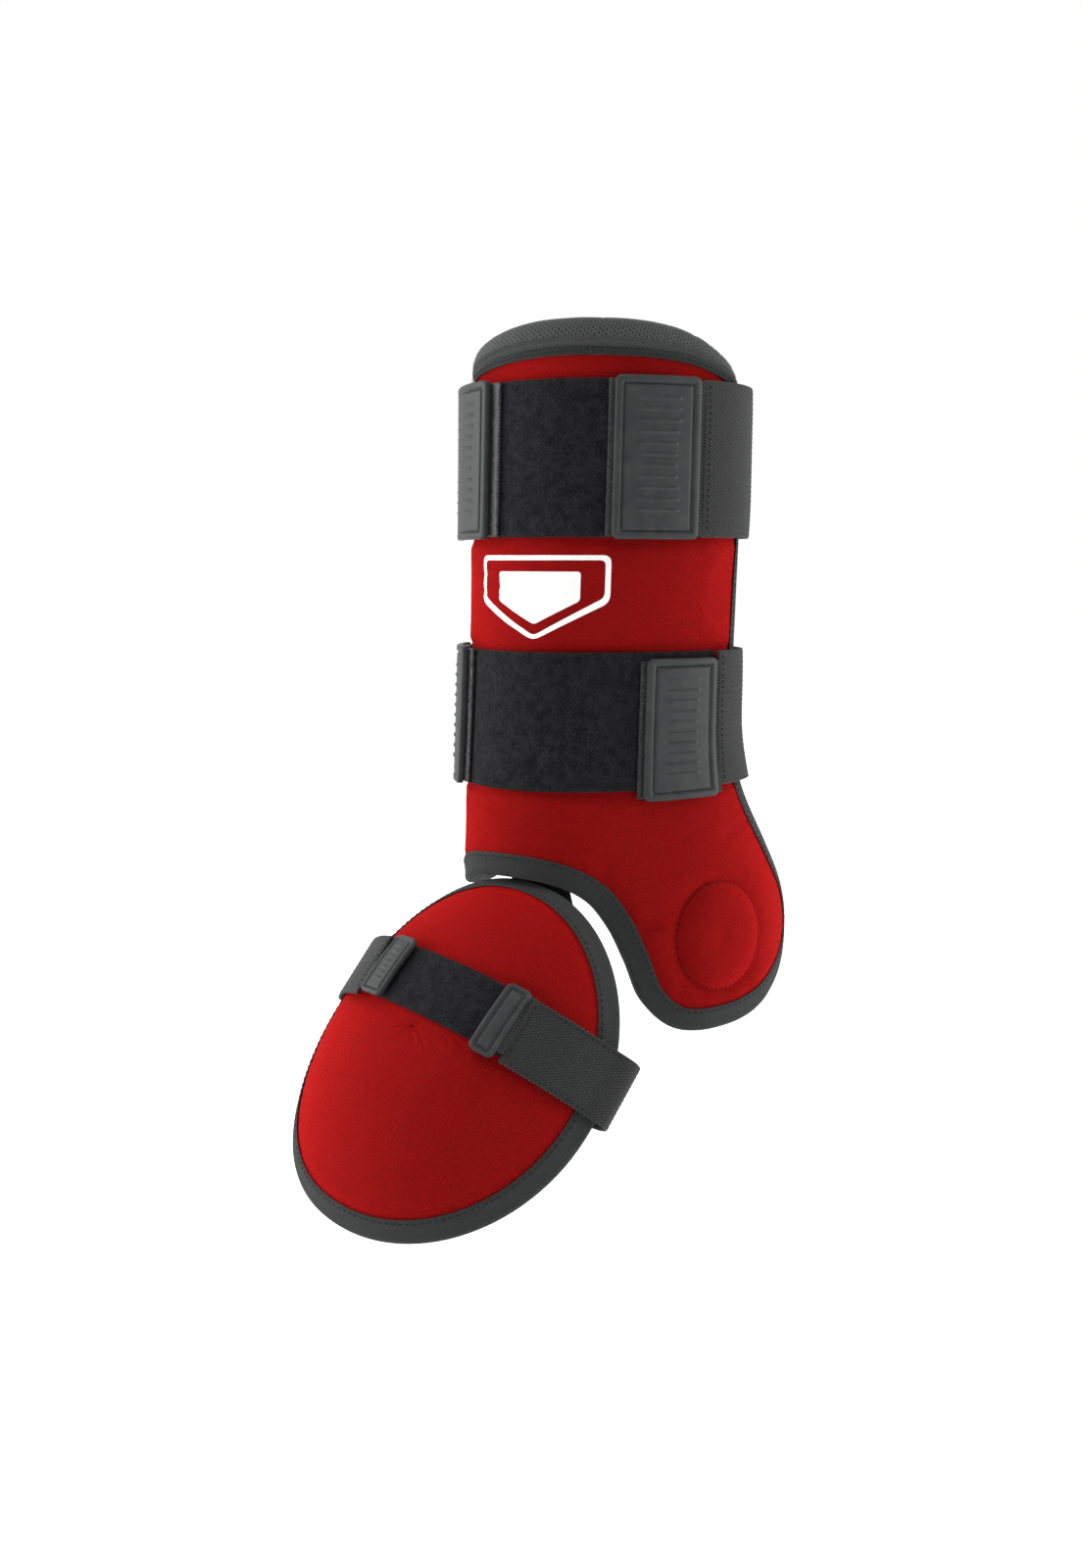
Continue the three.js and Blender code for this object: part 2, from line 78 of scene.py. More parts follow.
# ---- the frame's driving dimensions, mm and degrees ----
SHIN = {"side_ankle": 61, "side_knee": 64, "front_ankle": 73, "front_knee": 68, "instep": 7,
        "back": 65, "heel": 36, "malleolus": 25, "calf": 8}
CHART = 66                      # mm of girth for one radian round the shin
FOOT = {"half_length": 94, "half_width": 84, "crown": 28.5, "crown_power": 2.6, "side_drop": 17,
        "squareness": 0.95, "heel": (23, -66, 21.5), "pitch": 50, "roll": 11, "yaw": -1.8}
EDGE_INSET = 2.4
SHIN_STACK, FOOT_STACK = 11.9, 9.7
STITCH_INSET, STITCH_PITCH = 9.6, 3.4
CLOTH, LINING = 1.4, 1.0        # thickness of the red cover and of the spacer mesh
FOAM_TOP, FOAM_BASE = 3.9, 1.3  # the foam's faces: below the cover's face, above the lining's
WEB = 0.8                       # half the thickness of the webbing
PATCH_GAP, PATCH_THICK = 0.9, 1.4
TAPE = {"width": 11.5, "cloth": 1.1, "ease": 0.25}
STRAPS = {
    "upper": {"low": 192, "high": 266, "right": (51, 84), "left": (-42, -3), "panel": (-46, 88),
              "slack": 9, "drop": 0, "tuck": 0, "hooks": {"right": 2.5, "left": 6}},
    "lower": {"low": 69, "high": 137, "right": (66, 95), "left": (-56, -19), "panel": (-60, 98),
              "slack": 7, "drop": 4, "tuck": 10, "hooks": {"right": 2, "left": 5}},
}
SEAM = 2
PANEL_LIFT, PANEL_THICK = 0.35, 2.1
HOOK_LIFT, HOOK_THICK = 2.9, 1.6
RUBBER_LIFT, RUBBER_THICK = 4.8, 3.4
ELASTIC_LIFT, ELASTIC_THICK = 5.0, 1.8
DISC = {"angle": 94, "height": -7, "radius": 28}
BADGE = {"angle": 20, "height": 163, "width": 74, "tall": 41}
COLLAR = {"start": -0.01, "end": 0.188, "half": (7, 6), "rise": 4}
FOOT_STRAP = {"near": 59, "far": 89, "wide": 3, "right": (32, 43), "left": (-38, -22),
              "panel": (-32, 45), "sag": 12, "rim": (86.8, -18.5), "turn": (80.8, -29),
              "sole": -34.7}
CONNECTOR = {"angles": (0, 38), "fold": 28.5, "top": 62, "half": 22, "sewn": 20}

# The guard's flat pattern: (degrees round the leg, height), clockwise from the upper inner corner.
OUTLINE = [
    (-77, 252), (-46, 269), (-2, 277.5), (44, 280), (90, 275), (124, 257),
    (130, 215), (125, 165), (121, 110), (121, 66), (131, 34), (141, 5), (136, -26),
    (117, -45), (97, -54), (79, -53), (68, -39), (62, -18), (56, 0), (48, 13.5), (35, 22),
    (14, 25.5), (-12, 23), (-42, 12), (-70, 14),
    (-79, 70), (-81, 130), (-81, 200),
]
CORNERS = (0, 5, 12, 24)


# ---- the two surfaces ----
def smooth(x, a, b):
    t = np.clip((x - a) / (b - a), 0, 1)
    return t * t * (3 - 2 * t)


def between(x, a, b, c, d):
    """Rises from 0 at a to 1 at b, and falls back to 0 from c to d."""
    return smooth(x, a, b) * (1 - smooth(x, c, d))


def hump(distance, width):
    """1 where the distance is nothing, fading to 0 over a few widths."""
    return np.exp(-(distance / width) ** 2)


def travel(points):
    """The length run along a line of points, at each of them."""
    return np.concatenate([[0], np.cumsum(np.linalg.norm(np.diff(points, axis=0), axis=1))])


def read_at(s, run, table):
    """Rows of a table at lengths s, where run is the length at each row."""
    return np.stack([np.interp(s, run, column) for column in table.T], -1)


def grid_uv(run, across):
    return np.stack(np.broadcast_arrays(run[:, None], across[None, :]), -1)


def shin_face(angle, z):
    ankle = 1 - smooth(z, -20, 110)
    side = SHIN["side_ankle"] + (SHIN["side_knee"] - SHIN["side_ankle"]) * smooth(z, 60, 300)
    front = (SHIN["front_ankle"] + (SHIN["front_knee"] - SHIN["front_ankle"]) * smooth(z, 100, 300)
             + SHIN["instep"] * (1 - smooth(z, 0, 150)))
    depth = np.where(np.cos(angle) >= 0, front, SHIN["back"] + SHIN["heel"] * ankle)
    outer = between(angle, *np.radians([50, 115, 170, 250]))
    bulge = SHIN["calf"] + (SHIN["malleolus"] - SHIN["calf"]) * (1 - smooth(z, -10, 100))
    x = side * np.sin(angle) + bulge * outer
    return np.stack([x, -depth * np.cos(angle), z + 0 * x], -1)


def unit(v):
    return v / np.maximum(np.linalg.norm(v, axis=-1, keepdims=True), 1e-9)


def shin(x, y, lift):
    """Points over the shin's face: x is girth in mm, y the height, lift along the normal."""
    x, y, lift = np.broadcast_arrays(np.asarray(x, float), np.asarray(y, float), np.asarray(lift, float))
    d = 0.5
    across = shin_face((x + d) / CHART, y) - shin_face((x - d) / CHART, y)
    up = shin_face(x / CHART, y + d) - shin_face(x / CHART, y - d)
    return shin_face(x / CHART, y) + unit(np.cross(across, up)) * lift[..., None]


def stretch(x, y):
    return np.linalg.norm(shin_face((x + 0.5) / CHART, y) - shin_face((x - 0.5) / CHART, y), axis=-1)


def catmull_rom(a, b, c, d, w):
    """The centripetal curve through four points, at share w of the way from b to c."""
    ab, bc, cd = (math.sqrt(np.linalg.norm(v)) for v in (b - a, c - b, d - c))
    m1 = ((b - a) / ab - (c - a) / (ab + bc) + (c - b) / bc) * bc
    m2 = ((c - b) / bc - (d - b) / (bc + cd) + (d - c) / cd) * bc
    square = -3 * b + 3 * c - 2 * m1 - m2
    return b + m1 * w + square * w * w + (2 * b - 2 * c + m1 + m2) * w ** 3


def spline_loop(points, samples):
    """A closed centripetal Catmull-Rom curve through the points."""
    p = np.array(points, float)
    n = len(p)
    out = np.zeros((samples, p.shape[1]))
    for s in range(samples):
        t = s / samples * n
        k, w = int(t), t - int(t)
        out[s] = catmull_rom(*(p[(k + i) % n] for i in (-1, 0, 1, 2)), w)
    return out


EDGE_SAMPLES = 720
EDGE = spline_loop([(math.radians(a) * CHART, z) for a, z in OUTLINE], EDGE_SAMPLES)
EDGE_WIDE = stretch(EDGE[:, 0], EDGE[:, 1])
EDGE_ALONG = np.roll(EDGE, -4, 0) - np.roll(EDGE, 3, 0)
EDGE_ALONG = unit(EDGE_ALONG * np.stack([EDGE_WIDE, np.ones(EDGE_SAMPLES)], -1))
# inwards, in pattern units per mm
EDGE_IN = np.stack([EDGE_ALONG[:, 1] / EDGE_WIDE, -EDGE_ALONG[:, 0]], -1)


def pattern_edge(share, inset):
    """Pattern points at shares of the outline (0 to 1, wraps), moved inwards by inset mm."""
    share, inset = np.broadcast_arrays(np.asarray(share, float), np.asarray(inset, float))
    s = (share % 1) * EDGE_SAMPLES
    k = np.floor(s).astype(int) % EDGE_SAMPLES
    w = (s - np.floor(s))[..., None]
    point = EDGE[k] * (1 - w) + EDGE[(k + 1) % EDGE_SAMPLES] * w
    inward = EDGE_IN[k] * (1 - w) + EDGE_IN[(k + 1) % EDGE_SAMPLES] * w
    return point + inward * inset[..., None]


def edge_distance(x, y):
    """How far pattern points lie from the outline, in mm on the shin."""
    wide = stretch(x, y)
    best = np.full(x.shape, 1e9)
    for point in EDGE[::2]:
        best = np.minimum(best, np.hypot((x - point[0]) * wide, y - point[1]))
    return best


def shin_sheet(inset, u, v):
    """Pattern coordinates of a grid over the whole guard, u across and v down, each 0 to 1."""
    total = len(OUTLINE)

    def side(a, b, s):
        start, end = CORNERS[a] / total, (CORNERS[b] + (total if b == 0 else 0)) / total
        line = pattern_edge(np.linspace(start, end, 200), inset)
        run = travel(line)
        return read_at(s * run[-1], run, line)

    top, bottom = side(0, 1, u)[None], side(2, 3, 1 - u)[None]
    inner, outer = side(3, 0, 1 - v)[:, None], side(1, 2, v)[:, None]
    uu, vv = u[None, :, None], v[:, None, None]
    corner = [top[:, :1], top[:, -1:], bottom[:, -1:], bottom[:, :1]]
    grid = (1 - vv) * top + vv * bottom + (1 - uu) * inner + uu * outer
    grid = grid - (1 - uu) * (1 - vv) * corner[0] - uu * (1 - vv) * corner[1]
    grid = grid - uu * vv * corner[2] - (1 - uu) * vv * corner[3]
    return grid[..., 0], grid[..., 1]


def foot_face(turn, share):
    a = turn * 2 * math.pi
    rim_x = FOOT["half_width"] * np.sign(np.sin(a)) * np.abs(np.sin(a)) ** FOOT["squareness"]
    rim_y = FOOT["half_length"] * np.cos(a)
    crown = FOOT["crown"] * (1 - share ** FOOT["crown_power"])
    drop = FOOT["side_drop"] * (share * rim_x / FOOT["half_width"]) ** 2
    return np.stack([rim_x * share, rim_y * share - FOOT["half_length"], crown - drop], -1)


def foot(turn, share, lift):
    turn, share, lift = np.broadcast_arrays(*(np.asarray(n, float) for n in (turn, share, lift)))
    s = np.maximum(share, 0.01)
    around = foot_face(turn + 0.002, s) - foot_face(turn - 0.002, s)
    out = foot_face(turn, s + 0.004) - foot_face(turn, s - 0.004)
    normal = unit(np.cross(out, around))
    normal = normal * np.sign(normal[..., 2:])
    return foot_face(turn, share) + normal * lift[..., None]


def foot_share(turn, inset):
    """The share of the radius that lies inset mm in from the rim."""
    turn, inset = np.broadcast_arrays(np.asarray(turn, float), np.asarray(inset, float))
    shares = np.linspace(1.1, 0.0, 441)
    rim = foot_face(turn[..., None], np.ones(1))
    far = np.linalg.norm(foot_face(turn[..., None], shares) - rim, axis=-1)
    far = np.where(shares > 1, -far, far)
    flat_far, flat_in = far.reshape(-1, len(shares)), inset.reshape(-1)
    out = [np.interp(i, f, shares) for f, i in zip(flat_far, flat_in)]
    return np.array(out).reshape(inset.shape)


def foot_at(x, y, lift):
    """Points of the dome over places of its level plane."""
    x, y = np.broadcast_arrays(np.asarray(x, float), np.asarray(y, float))
    dy = y + FOOT["half_length"]
    turn = np.arctan2(x / FOOT["half_width"], dy / FOOT["half_length"]) / (2 * math.pi)
    for _ in range(12):
        rim = foot_face(turn, np.ones(1))
        error = np.arctan2(x, dy) - np.arctan2(rim[..., 0], rim[..., 1] + FOOT["half_length"])
        turn = turn + (error + math.pi) % (2 * math.pi) / (2 * math.pi) - 0.5
    rim = foot_face(turn, np.ones(1))
    share = np.hypot(x, dy) / np.hypot(rim[..., 0], rim[..., 1] + FOOT["half_length"])
    return foot(turn, share, lift)


def foot_world(points):
    """From the foot guard's own frame to the row's frame, in mm."""
    t, r, y = (math.radians(FOOT[key]) for key in ("pitch", "roll", "yaw"))
    roll = np.array([[math.cos(r), 0, math.sin(r)], [0, 1, 0], [-math.sin(r), 0, math.cos(r)]])
    pitch = np.array([[1, 0, 0], [0, math.cos(t), -math.sin(t)], [0, math.sin(t), math.cos(t)]])
    yaw = np.array([[math.cos(y), -math.sin(y), 0], [math.sin(y), math.cos(y), 0], [0, 0, 1]])
    return points @ (pitch @ roll @ yaw).T + np.array(FOOT["heel"], float)


# ---- light ----
WORLD = {"bright": 1.0, "dim": 0.42, "from": 0.0}
SOFT_BOXES = [                  # name, azimuth, elevation, side in metres, watts
    ("left_box", -48, 14, 0.9, 17), ("right_box", 138, 8, 0.9, 13),
    ("front_box", 10, 72, 1.0, 9), ("back_box", 225, 35, 1.4, 5),
]

# ---- materials ----
class Shader:
    """A node material under construction: its methods add nodes, and most return an output."""

    def __init__(self, name, color, roughness, sheen=0.0, sheen_roughness=0.5, specular=0.5):
        self.material = bpy.data.materials.new(name)
        self.material.use_nodes = True
        self.tree = self.material.node_tree
        self.bsdf = self.tree.nodes["Principled BSDF"]
        self.bsdf.inputs["Base Color"].default_value = (*color, 1)
        self.bsdf.inputs["Roughness"].default_value = roughness
        self.bsdf.inputs["Sheen Weight"].default_value = sheen
        self.bsdf.inputs["Sheen Roughness"].default_value = sheen_roughness
        self.bsdf.inputs["Specular IOR Level"].default_value = specular

    def node(self, kind, inputs=(), **settings):
        node = self.tree.nodes.new(kind)
        for key, value in settings.items():
            setattr(node, key, value)
        for key, value in dict(inputs).items():
            if isinstance(value, bpy.types.NodeSocket):
                self.tree.links.new(value, node.inputs[key])
            else:
                node.inputs[key].default_value = value
        return node

    def math(self, operation, a, b=0.0):
        return self.node("ShaderNodeMath", {0: a, 1: b}, operation=operation).outputs[0]

    def sum(self, *terms):
        """Terms are (value, weight) pairs."""
        total = self.math("MULTIPLY", *terms[0])
        for term in terms[1:]:
            total = self.math("ADD", total, self.math("MULTIPLY", *term))
        return total

    def millimetres(self, metres):
        scale = {0: metres, 1: (1000, 1000, 1000)}
        return self.node("ShaderNodeVectorMath", scale, operation="MULTIPLY").outputs[0]

    def place(self):
        """Position in mm on the piece as it was sewn, from its own coordinates."""
        return self.millimetres(self.node("ShaderNodeTexCoord").outputs["Object"])

    def cloth_uv(self):
        """Girth and height in mm, along the warp and the weft."""
        uv = self.millimetres(self.node("ShaderNodeUVMap", uv_map="cloth").outputs[0])
        parts = self.node("ShaderNodeSeparateXYZ", {0: uv}).outputs
        return parts[0], parts[1]

    def noise(self, vector, pitch, detail=2.0, rough=0.5):
        inputs = {"Vector": vector, "Scale": 1 / pitch, "Detail": detail, "Roughness": rough}
        return self.node("ShaderNodeTexNoise", inputs).outputs["Fac"]

    def cells(self, vector, pitch, feature="F1"):
        inputs = {"Vector": vector, "Scale": 1 / pitch}
        return self.node("ShaderNodeTexVoronoi", inputs, feature=feature).outputs["Distance"]

    def wave(self, value, period):
        return self.math("SINE", self.math("MULTIPLY", value, 2 * math.pi / period))

    def ramp(self, value, low, high):
        inputs = {0: value, 1: low, 2: high, 3: 0.0, 4: 1.0}
        return self.node("ShaderNodeMapRange", inputs, interpolation_type="SMOOTHSTEP").outputs[0]

    def tint(self, factor, dark, light):
        mix = self.node("ShaderNodeMix", {"Factor": factor}, data_type="RGBA")
        colours = [socket for socket in mix.inputs if socket.type == "RGBA"]
        for socket, colour in zip(colours, (dark, light)):
            socket.default_value = (*colour, 1)
        output = [socket for socket in mix.outputs if socket.type == "RGBA"][0]
        self.tree.links.new(output, self.bsdf.inputs["Base Color"])

    def bump(self, height, distance_mm, strength=1.0):
        inputs = {"Height": height, "Distance": distance_mm * MM, "Strength": strength}
        bump = self.node("ShaderNodeBump", inputs)
        self.tree.links.new(bump.outputs[0], self.bsdf.inputs["Normal"])

    def roughness(self, value, low, high):
        inputs = {0: value, 1: 0.0, 2: 1.0, 3: low, 4: high}
        mapped = self.node("ShaderNodeMapRange", inputs).outputs[0]
        self.tree.links.new(mapped, self.bsdf.inputs["Roughness"])


def red_knit():
    """Brushed knit: fine wales, a short nap that catches side light, and a faint mottle."""
    s = Shader("red_knit", (0.20, 0.002, 0.0025), 0.95, sheen=0.9, specular=0.06)
    s.bsdf.inputs["Sheen Tint"].default_value = (1.0, 0.012, 0.012, 1)
    place = s.place()
    girth_mm, height_mm = s.cloth_uv()
    wales = s.wave(girth_mm, 1.5)
    loops = s.wave(s.sum((height_mm, 1), (wales, 0.2)), 1.1)
    knit = s.math("MULTIPLY", wales, loops)
    nap = s.noise(place, 0.9, detail=4, rough=0.7)
    mottle = s.noise(place, 14, detail=4, rough=0.6)
    shade = s.sum((knit, 0.11), (nap, 0.85), (mottle, 0.15))
    s.tint(s.ramp(shade, 0.22, 0.80), (0.142, 0.0016, 0.0016), (0.255, 0.0040, 0.0040))
    s.roughness(nap, 0.82, 1.0)
    s.bump(s.sum((knit, 0.35), (nap, 1.4)), 0.3)
    return s.material


def loop_pile():
    """Napped loop fabric: a dense tangle, with pale lint caught in it."""
    s = Shader("loop_pile", (0.006, 0.006, 0.007), 1.0, sheen=0.04, sheen_roughness=0.7, specular=0.04)
    place = s.place()
    tangle = s.noise(place, 0.8, detail=6, rough=0.75)
    patch = s.noise(place, 5, detail=3, rough=0.6)
    lint = s.ramp(s.noise(place, 1.1, detail=1), 0.70, 0.78)
    shade = s.sum((s.ramp(s.sum((tangle, 0.75), (patch, 0.35)), 0.40, 0.74), 1), (lint, 1.2))
    s.tint(shade, (0.0012, 0.0012, 0.0018), (0.020, 0.020, 0.023))
    s.bump(s.sum((tangle, 1), (patch, 0.4)), 0.55)
    return s.material


def woven(name, dark, light, across, along, sheen):
    """Plain weave seen from the front: raised yarns `across` by `along` mm, half staggered."""
    s = Shader(name, dark, 0.86, sheen=sheen, specular=0.2)
    girth_mm, height_mm = s.cloth_uv()
    weave = s.math("MULTIPLY", s.wave(girth_mm, across), s.wave(height_mm, along))
    fuzz = s.noise(s.place(), 0.5, detail=3, rough=0.6)
    s.tint(s.ramp(s.sum((weave, 0.32), (fuzz, 1)), 0.12, 0.95), dark, light)
    s.bump(s.sum((weave, 1), (fuzz, 0.6)), 0.22)
    return s.material


def spacer_mesh():
    """Knitted spacer mesh: rows of small open cells, painted darker than the yarn as painted shade inside
    them.
    """
    s = Shader("spacer_mesh", (0.02, 0.021, 0.023), 0.8, sheen=0.1, specular=0.2)
    girth_mm, height_mm = s.cloth_uv()
    rows = s.wave(s.sum((girth_mm, 1), (height_mm, 0.55)), 2.1)
    cols = s.wave(s.sum((height_mm, 1), (girth_mm, -0.18)), 1.7)
    holes = s.ramp(s.math("MULTIPLY", rows, cols), 0.25, 0.7)
    fuzz = s.noise(s.place(), 0.6, detail=3, rough=0.6)
    # the open cells are painted darker than the yarn between them: painted shade inside the cells; the fuzz
    # is the yarn's own tone
    shade = s.sum((0.55, 1), (fuzz, 0.6), (holes, -0.6))
    s.tint(s.ramp(shade, 0.1, 1.0), (0.003, 0.003, 0.004), (0.062, 0.064, 0.064))
    s.bump(s.sum((fuzz, 0.3), (holes, -1)), 0.5)
    return s.material


def moulded_rubber():
    """Satin rubber: fine spark-eroded grain, dust in the grain and rubbed high spots."""
    s = Shader("moulded_rubber", (0.045, 0.047, 0.049), 0.5, specular=0.3)
    place = s.place()
    grain = s.noise(place, 0.35, detail=3, rough=0.6)
    smear = s.noise(place, 7, detail=4, rough=0.6)
    shade = s.sum((grain, 0.3), (smear, 0.7))
    s.tint(s.ramp(shade, 0.3, 0.75), (0.020, 0.021, 0.022), (0.036, 0.038, 0.038))
    s.roughness(smear, 0.42, 0.66)
    s.bump(grain, 0.06)
    return s.material


def hook_plastic():
    s = Shader("hook_plastic", (0.014, 0.014, 0.016), 0.45)
    girth_mm, height_mm = s.cloth_uv()
    hooks = s.math("MULTIPLY", s.wave(girth_mm, 1.4), s.wave(height_mm, 1.8))
    fuzz = s.noise(s.place(), 0.7, detail=2)
    s.tint(s.ramp(s.math("ADD", hooks, fuzz), 0.2, 1.4), (0.007, 0.007, 0.008), (0.035, 0.035, 0.038))
    s.bump(s.ramp(hooks, 0.1, 0.6), 0.5)
    return s.material


def shell_plastic():
    s = Shader("shell_plastic", (0.05, 0.05, 0.055), 0.4)
    grain = s.noise(s.place(), 1.2, detail=3)
    s.tint(s.ramp(grain, 0.3, 0.7), (0.04, 0.04, 0.045), (0.06, 0.06, 0.066))
    s.bump(grain, 0.1)
    return s.material


def foam_material():
    s = Shader("closed_cell_foam", (0.6, 0.58, 0.53), 0.95)
    cells = s.cells(s.place(), 1.1)
    s.tint(s.ramp(cells, 0.1, 0.6), (0.5, 0.48, 0.43), (0.66, 0.64, 0.59))
    s.bump(cells, 0.3)
    return s.material


def thread(name, dark, light):
    s = Shader(name, dark, 0.8, sheen=0.04, specular=0.1)
    twist = s.noise(s.place(), 0.3, detail=2)
    s.tint(s.ramp(twist, 0.3, 0.7), dark, light)
    s.bump(twist, 0.1)
    return s.material


def white_print():
    """Plastisol ink over the knit: white, a little worn, with the knit just showing through."""
    s = Shader("white_print", (0.86, 0.86, 0.85), 0.55)
    girth_mm, height_mm = s.cloth_uv()
    knit = s.math("MULTIPLY", s.wave(girth_mm, 0.9), s.wave(height_mm, 0.62))
    wear = s.noise(s.place(), 1.6, detail=5, rough=0.7)
    s.tint(s.ramp(wear, 0.28, 0.42), (0.70, 0.62, 0.61), (0.90, 0.90, 0.89))
    s.bump(s.sum((knit, 0.5), (wear, 1)), 0.08)
    return s.material


MATERIALS = {
    "red_fabric": red_knit(),
    "loop_fabric": loop_pile(),
    "black_tape": woven("binding_tape", (0.014, 0.015, 0.015), (0.040, 0.043, 0.042), 1.1, 0.7, 0.08),
    "black_elastic": woven("woven_elastic", (0.008, 0.008, 0.009), (0.044, 0.045, 0.046), 2.1, 1.5, 0.08),
    "mesh_lining": spacer_mesh(),
    "black_rubber": moulded_rubber(),
    "hook_plastic": hook_plastic(),
    "shell_plastic": shell_plastic(),
    "foam": foam_material(),
    "white_print": white_print(),
}
BLACK_THREAD = thread("black_thread", (0.006, 0.006, 0.007), (0.026, 0.026, 0.028))
RED_THREAD = thread("red_thread", (0.03, 0.0012, 0.0014), (0.07, 0.003, 0.003))


# ---- meshes ----
def piece(name, points, faces, slot, body, nodes=(), uv=None, material=None, smooth_angle=50):
    """A mesh from points in mm, riding on a body and standing for CAD nodes."""
    mesh = bpy.data.meshes.new(name)
    corners = (np.asarray(points).reshape(-1, 3) * MM).tolist()
    mesh.from_pydata(corners, [], [list(map(int, face)) for face in faces])
    if uv is not None:
        corner = np.zeros(len(mesh.loops), int)
        mesh.loops.foreach_get("vertex_index", corner)
        layer = mesh.uv_layers.new(name="cloth")
        layer.data.foreach_set("uv", (np.asarray(uv).reshape(-1, 2) * MM)[corner].ravel())
    mesh.materials.append(material or MATERIALS[slot])
    obj = bpy.data.objects.new(name, mesh)
    bpy.context.collection.objects.link(obj)
    make_outward(mesh)
    mesh.shade_smooth()
    mesh.set_sharp_from_angle(angle=math.radians(smooth_angle))
    if body:
        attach(obj, body)
    if nodes:
        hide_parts(*nodes)
    return obj


def make_outward(mesh):
    points = np.zeros(len(mesh.vertices) * 3)
    mesh.vertices.foreach_get("co", points)
    points = points.reshape(-1, 3)
    mesh.calc_loop_triangles()
    tris = np.zeros(len(mesh.loop_triangles) * 3, int)
    mesh.loop_triangles.foreach_get("vertices", tris)
    a, b, c = (points[tris.reshape(-1, 3)[:, i]] for i in range(3))
    if np.einsum("ij,ij->i", a, np.cross(b, c)).sum() < 0:
        mesh.flip_normals()


def slab_faces(rows, cols, loop=False):
    """Faces of a closed sheet: two grids of rows x cols points, one after the other."""
    faces = []
    n = rows * cols
    last = cols if loop else cols - 1
    for j in range(rows - 1):
        for i in range(last):
            a, b = j * cols + i, j * cols + (i + 1) % cols
            c, d = a + cols, b + cols
            faces.append((a, b, d, c))
            faces.append((n + a, n + c, n + d, n + b))
    for i in range(last):
        a, b = i, (i + 1) % cols
        faces.append((a, n + a, n + b, b))
        a, b = (rows - 1) * cols + i, (rows - 1) * cols + (i + 1) % cols
        faces.append((b, n + b, n + a, a))
    if not loop:
        for j in range(rows - 1):
            a, b = j * cols, (j + 1) * cols
            faces.append((b, n + b, n + a, a))
            a, b = a + cols - 1, b + cols - 1
            faces.append((a, n + a, n + b, b))
    return faces


def slab(name, outer, inner, slot, body, nodes=(), uv=None, loop=False, **more):
    rows, cols = outer.shape[:2]
    points = np.concatenate([outer.reshape(-1, 3), inner.reshape(-1, 3)])
    if uv is not None:
        uv = np.concatenate([uv.reshape(-1, 2)] * 2)
    return piece(name, points, slab_faces(rows, cols, loop), slot, body, nodes, uv, **more)


def disc_sheet(name, outer, inner, slot, body, nodes=(), uv=None, **more):
    """A closed round sheet: grids of rings x turns whose first ring is the middle point."""
    rings, turns = outer.shape[:2]
    faces = []
    points, uvs = [], []
    for k, side in enumerate((outer, inner)):
        base = k * (1 + (rings - 1) * turns)
        points += [side[0, :1], side[1:].reshape(-1, 3)]
        if uv is not None:
            uvs += [uv[0, :1], uv[1:].reshape(-1, 2)]
        for i in range(turns):
            j = (i + 1) % turns
            tri = (base, base + 1 + i, base + 1 + j)
            faces.append(tri if k == 0 else tri[::-1])
            for r in range(rings - 2):
                a, b = base + 1 + r * turns + i, base + 1 + r * turns + j
                quad = (a, a + turns, b + turns, b)
                faces.append(quad if k == 0 else quad[::-1])
    rim = 1 + (rings - 2) * turns
    lower = 1 + (rings - 1) * turns
    for i in range(turns):
        j = (i + 1) % turns
        faces.append((rim + i, lower + rim + i, lower + rim + j, rim + j))
    uv = np.concatenate(uvs) if uv is not None else None
    return piece(name, np.concatenate(points), faces, slot, body, nodes, uv, **more)


def sweep(name, sections, slot, body, nodes=(), uv=None, closed=False, **more):
    """Sections (steps x points x 3) joined into a tube; an open one is capped by flat faces."""
    steps, size = sections.shape[:2]
    faces = []
    for k in range(steps if closed else steps - 1):
        a, b = k * size, ((k + 1) % steps) * size
        for i in range(size):
            j = (i + 1) % size
            faces.append((a + i, a + j, b + j, b + i))
    if not closed:
        last = (steps - 1) * size
        for i in range(size // 2 - 1):
            strip = (i, i + 1, size - 2 - i, size - 1 - i)
            faces += [strip[::-1], tuple(last + n for n in strip)]
    return piece(name, sections, faces, slot, body, nodes, uv, **more)


def spaced(length, step, rim=1.0):
    """Places from 0 to length, crowded within rim of both ends for a rounded edge."""
    start = rim * np.array([0, 0.06, 0.2, 0.45, 1.0])
    middle = np.linspace(rim, length - rim, max(2, int(round((length - 2 * rim) / step)) + 1))
    return np.concatenate([start[:-1], middle, (length - start[:-1])[::-1]])


def rim_profile(distance, radius):
    """1 well inside a sheet, falling to 0 along a quarter circle at its edge."""
    t = np.clip(1 - distance / radius, 0, 1)
    return np.sqrt(1 - t * t)


def border(ss, tt, length, width):
    """Distance to the nearest edge of a strip."""
    return np.minimum(np.minimum(ss, length - ss), np.minimum(tt, width - tt))


def sewn_strip(name, surface, length, width, lift, thick, slot, body, nodes=(), step=(1.6, 1.6), rim=0.7,
               wave=None):
    """A flat strip with rounded edges. surface(s, t, lift) takes mm along and across."""
    s, t = spaced(length, step[0], rim), spaced(width, step[1], rim)
    ss, tt = np.meshgrid(s, t)
    inside = border(ss, tt, length, width)
    half = thick / 2 * np.maximum(rim_profile(inside, rim), 0.12)
    middle = lift + thick / 2 + (wave(ss, tt) if wave else 0)
    outer, inner = surface(ss, tt, middle + half), surface(ss, tt, middle - half)
    return slab(name, outer, inner, slot, body, nodes, uv=np.stack([ss, tt], -1), smooth_angle=70)


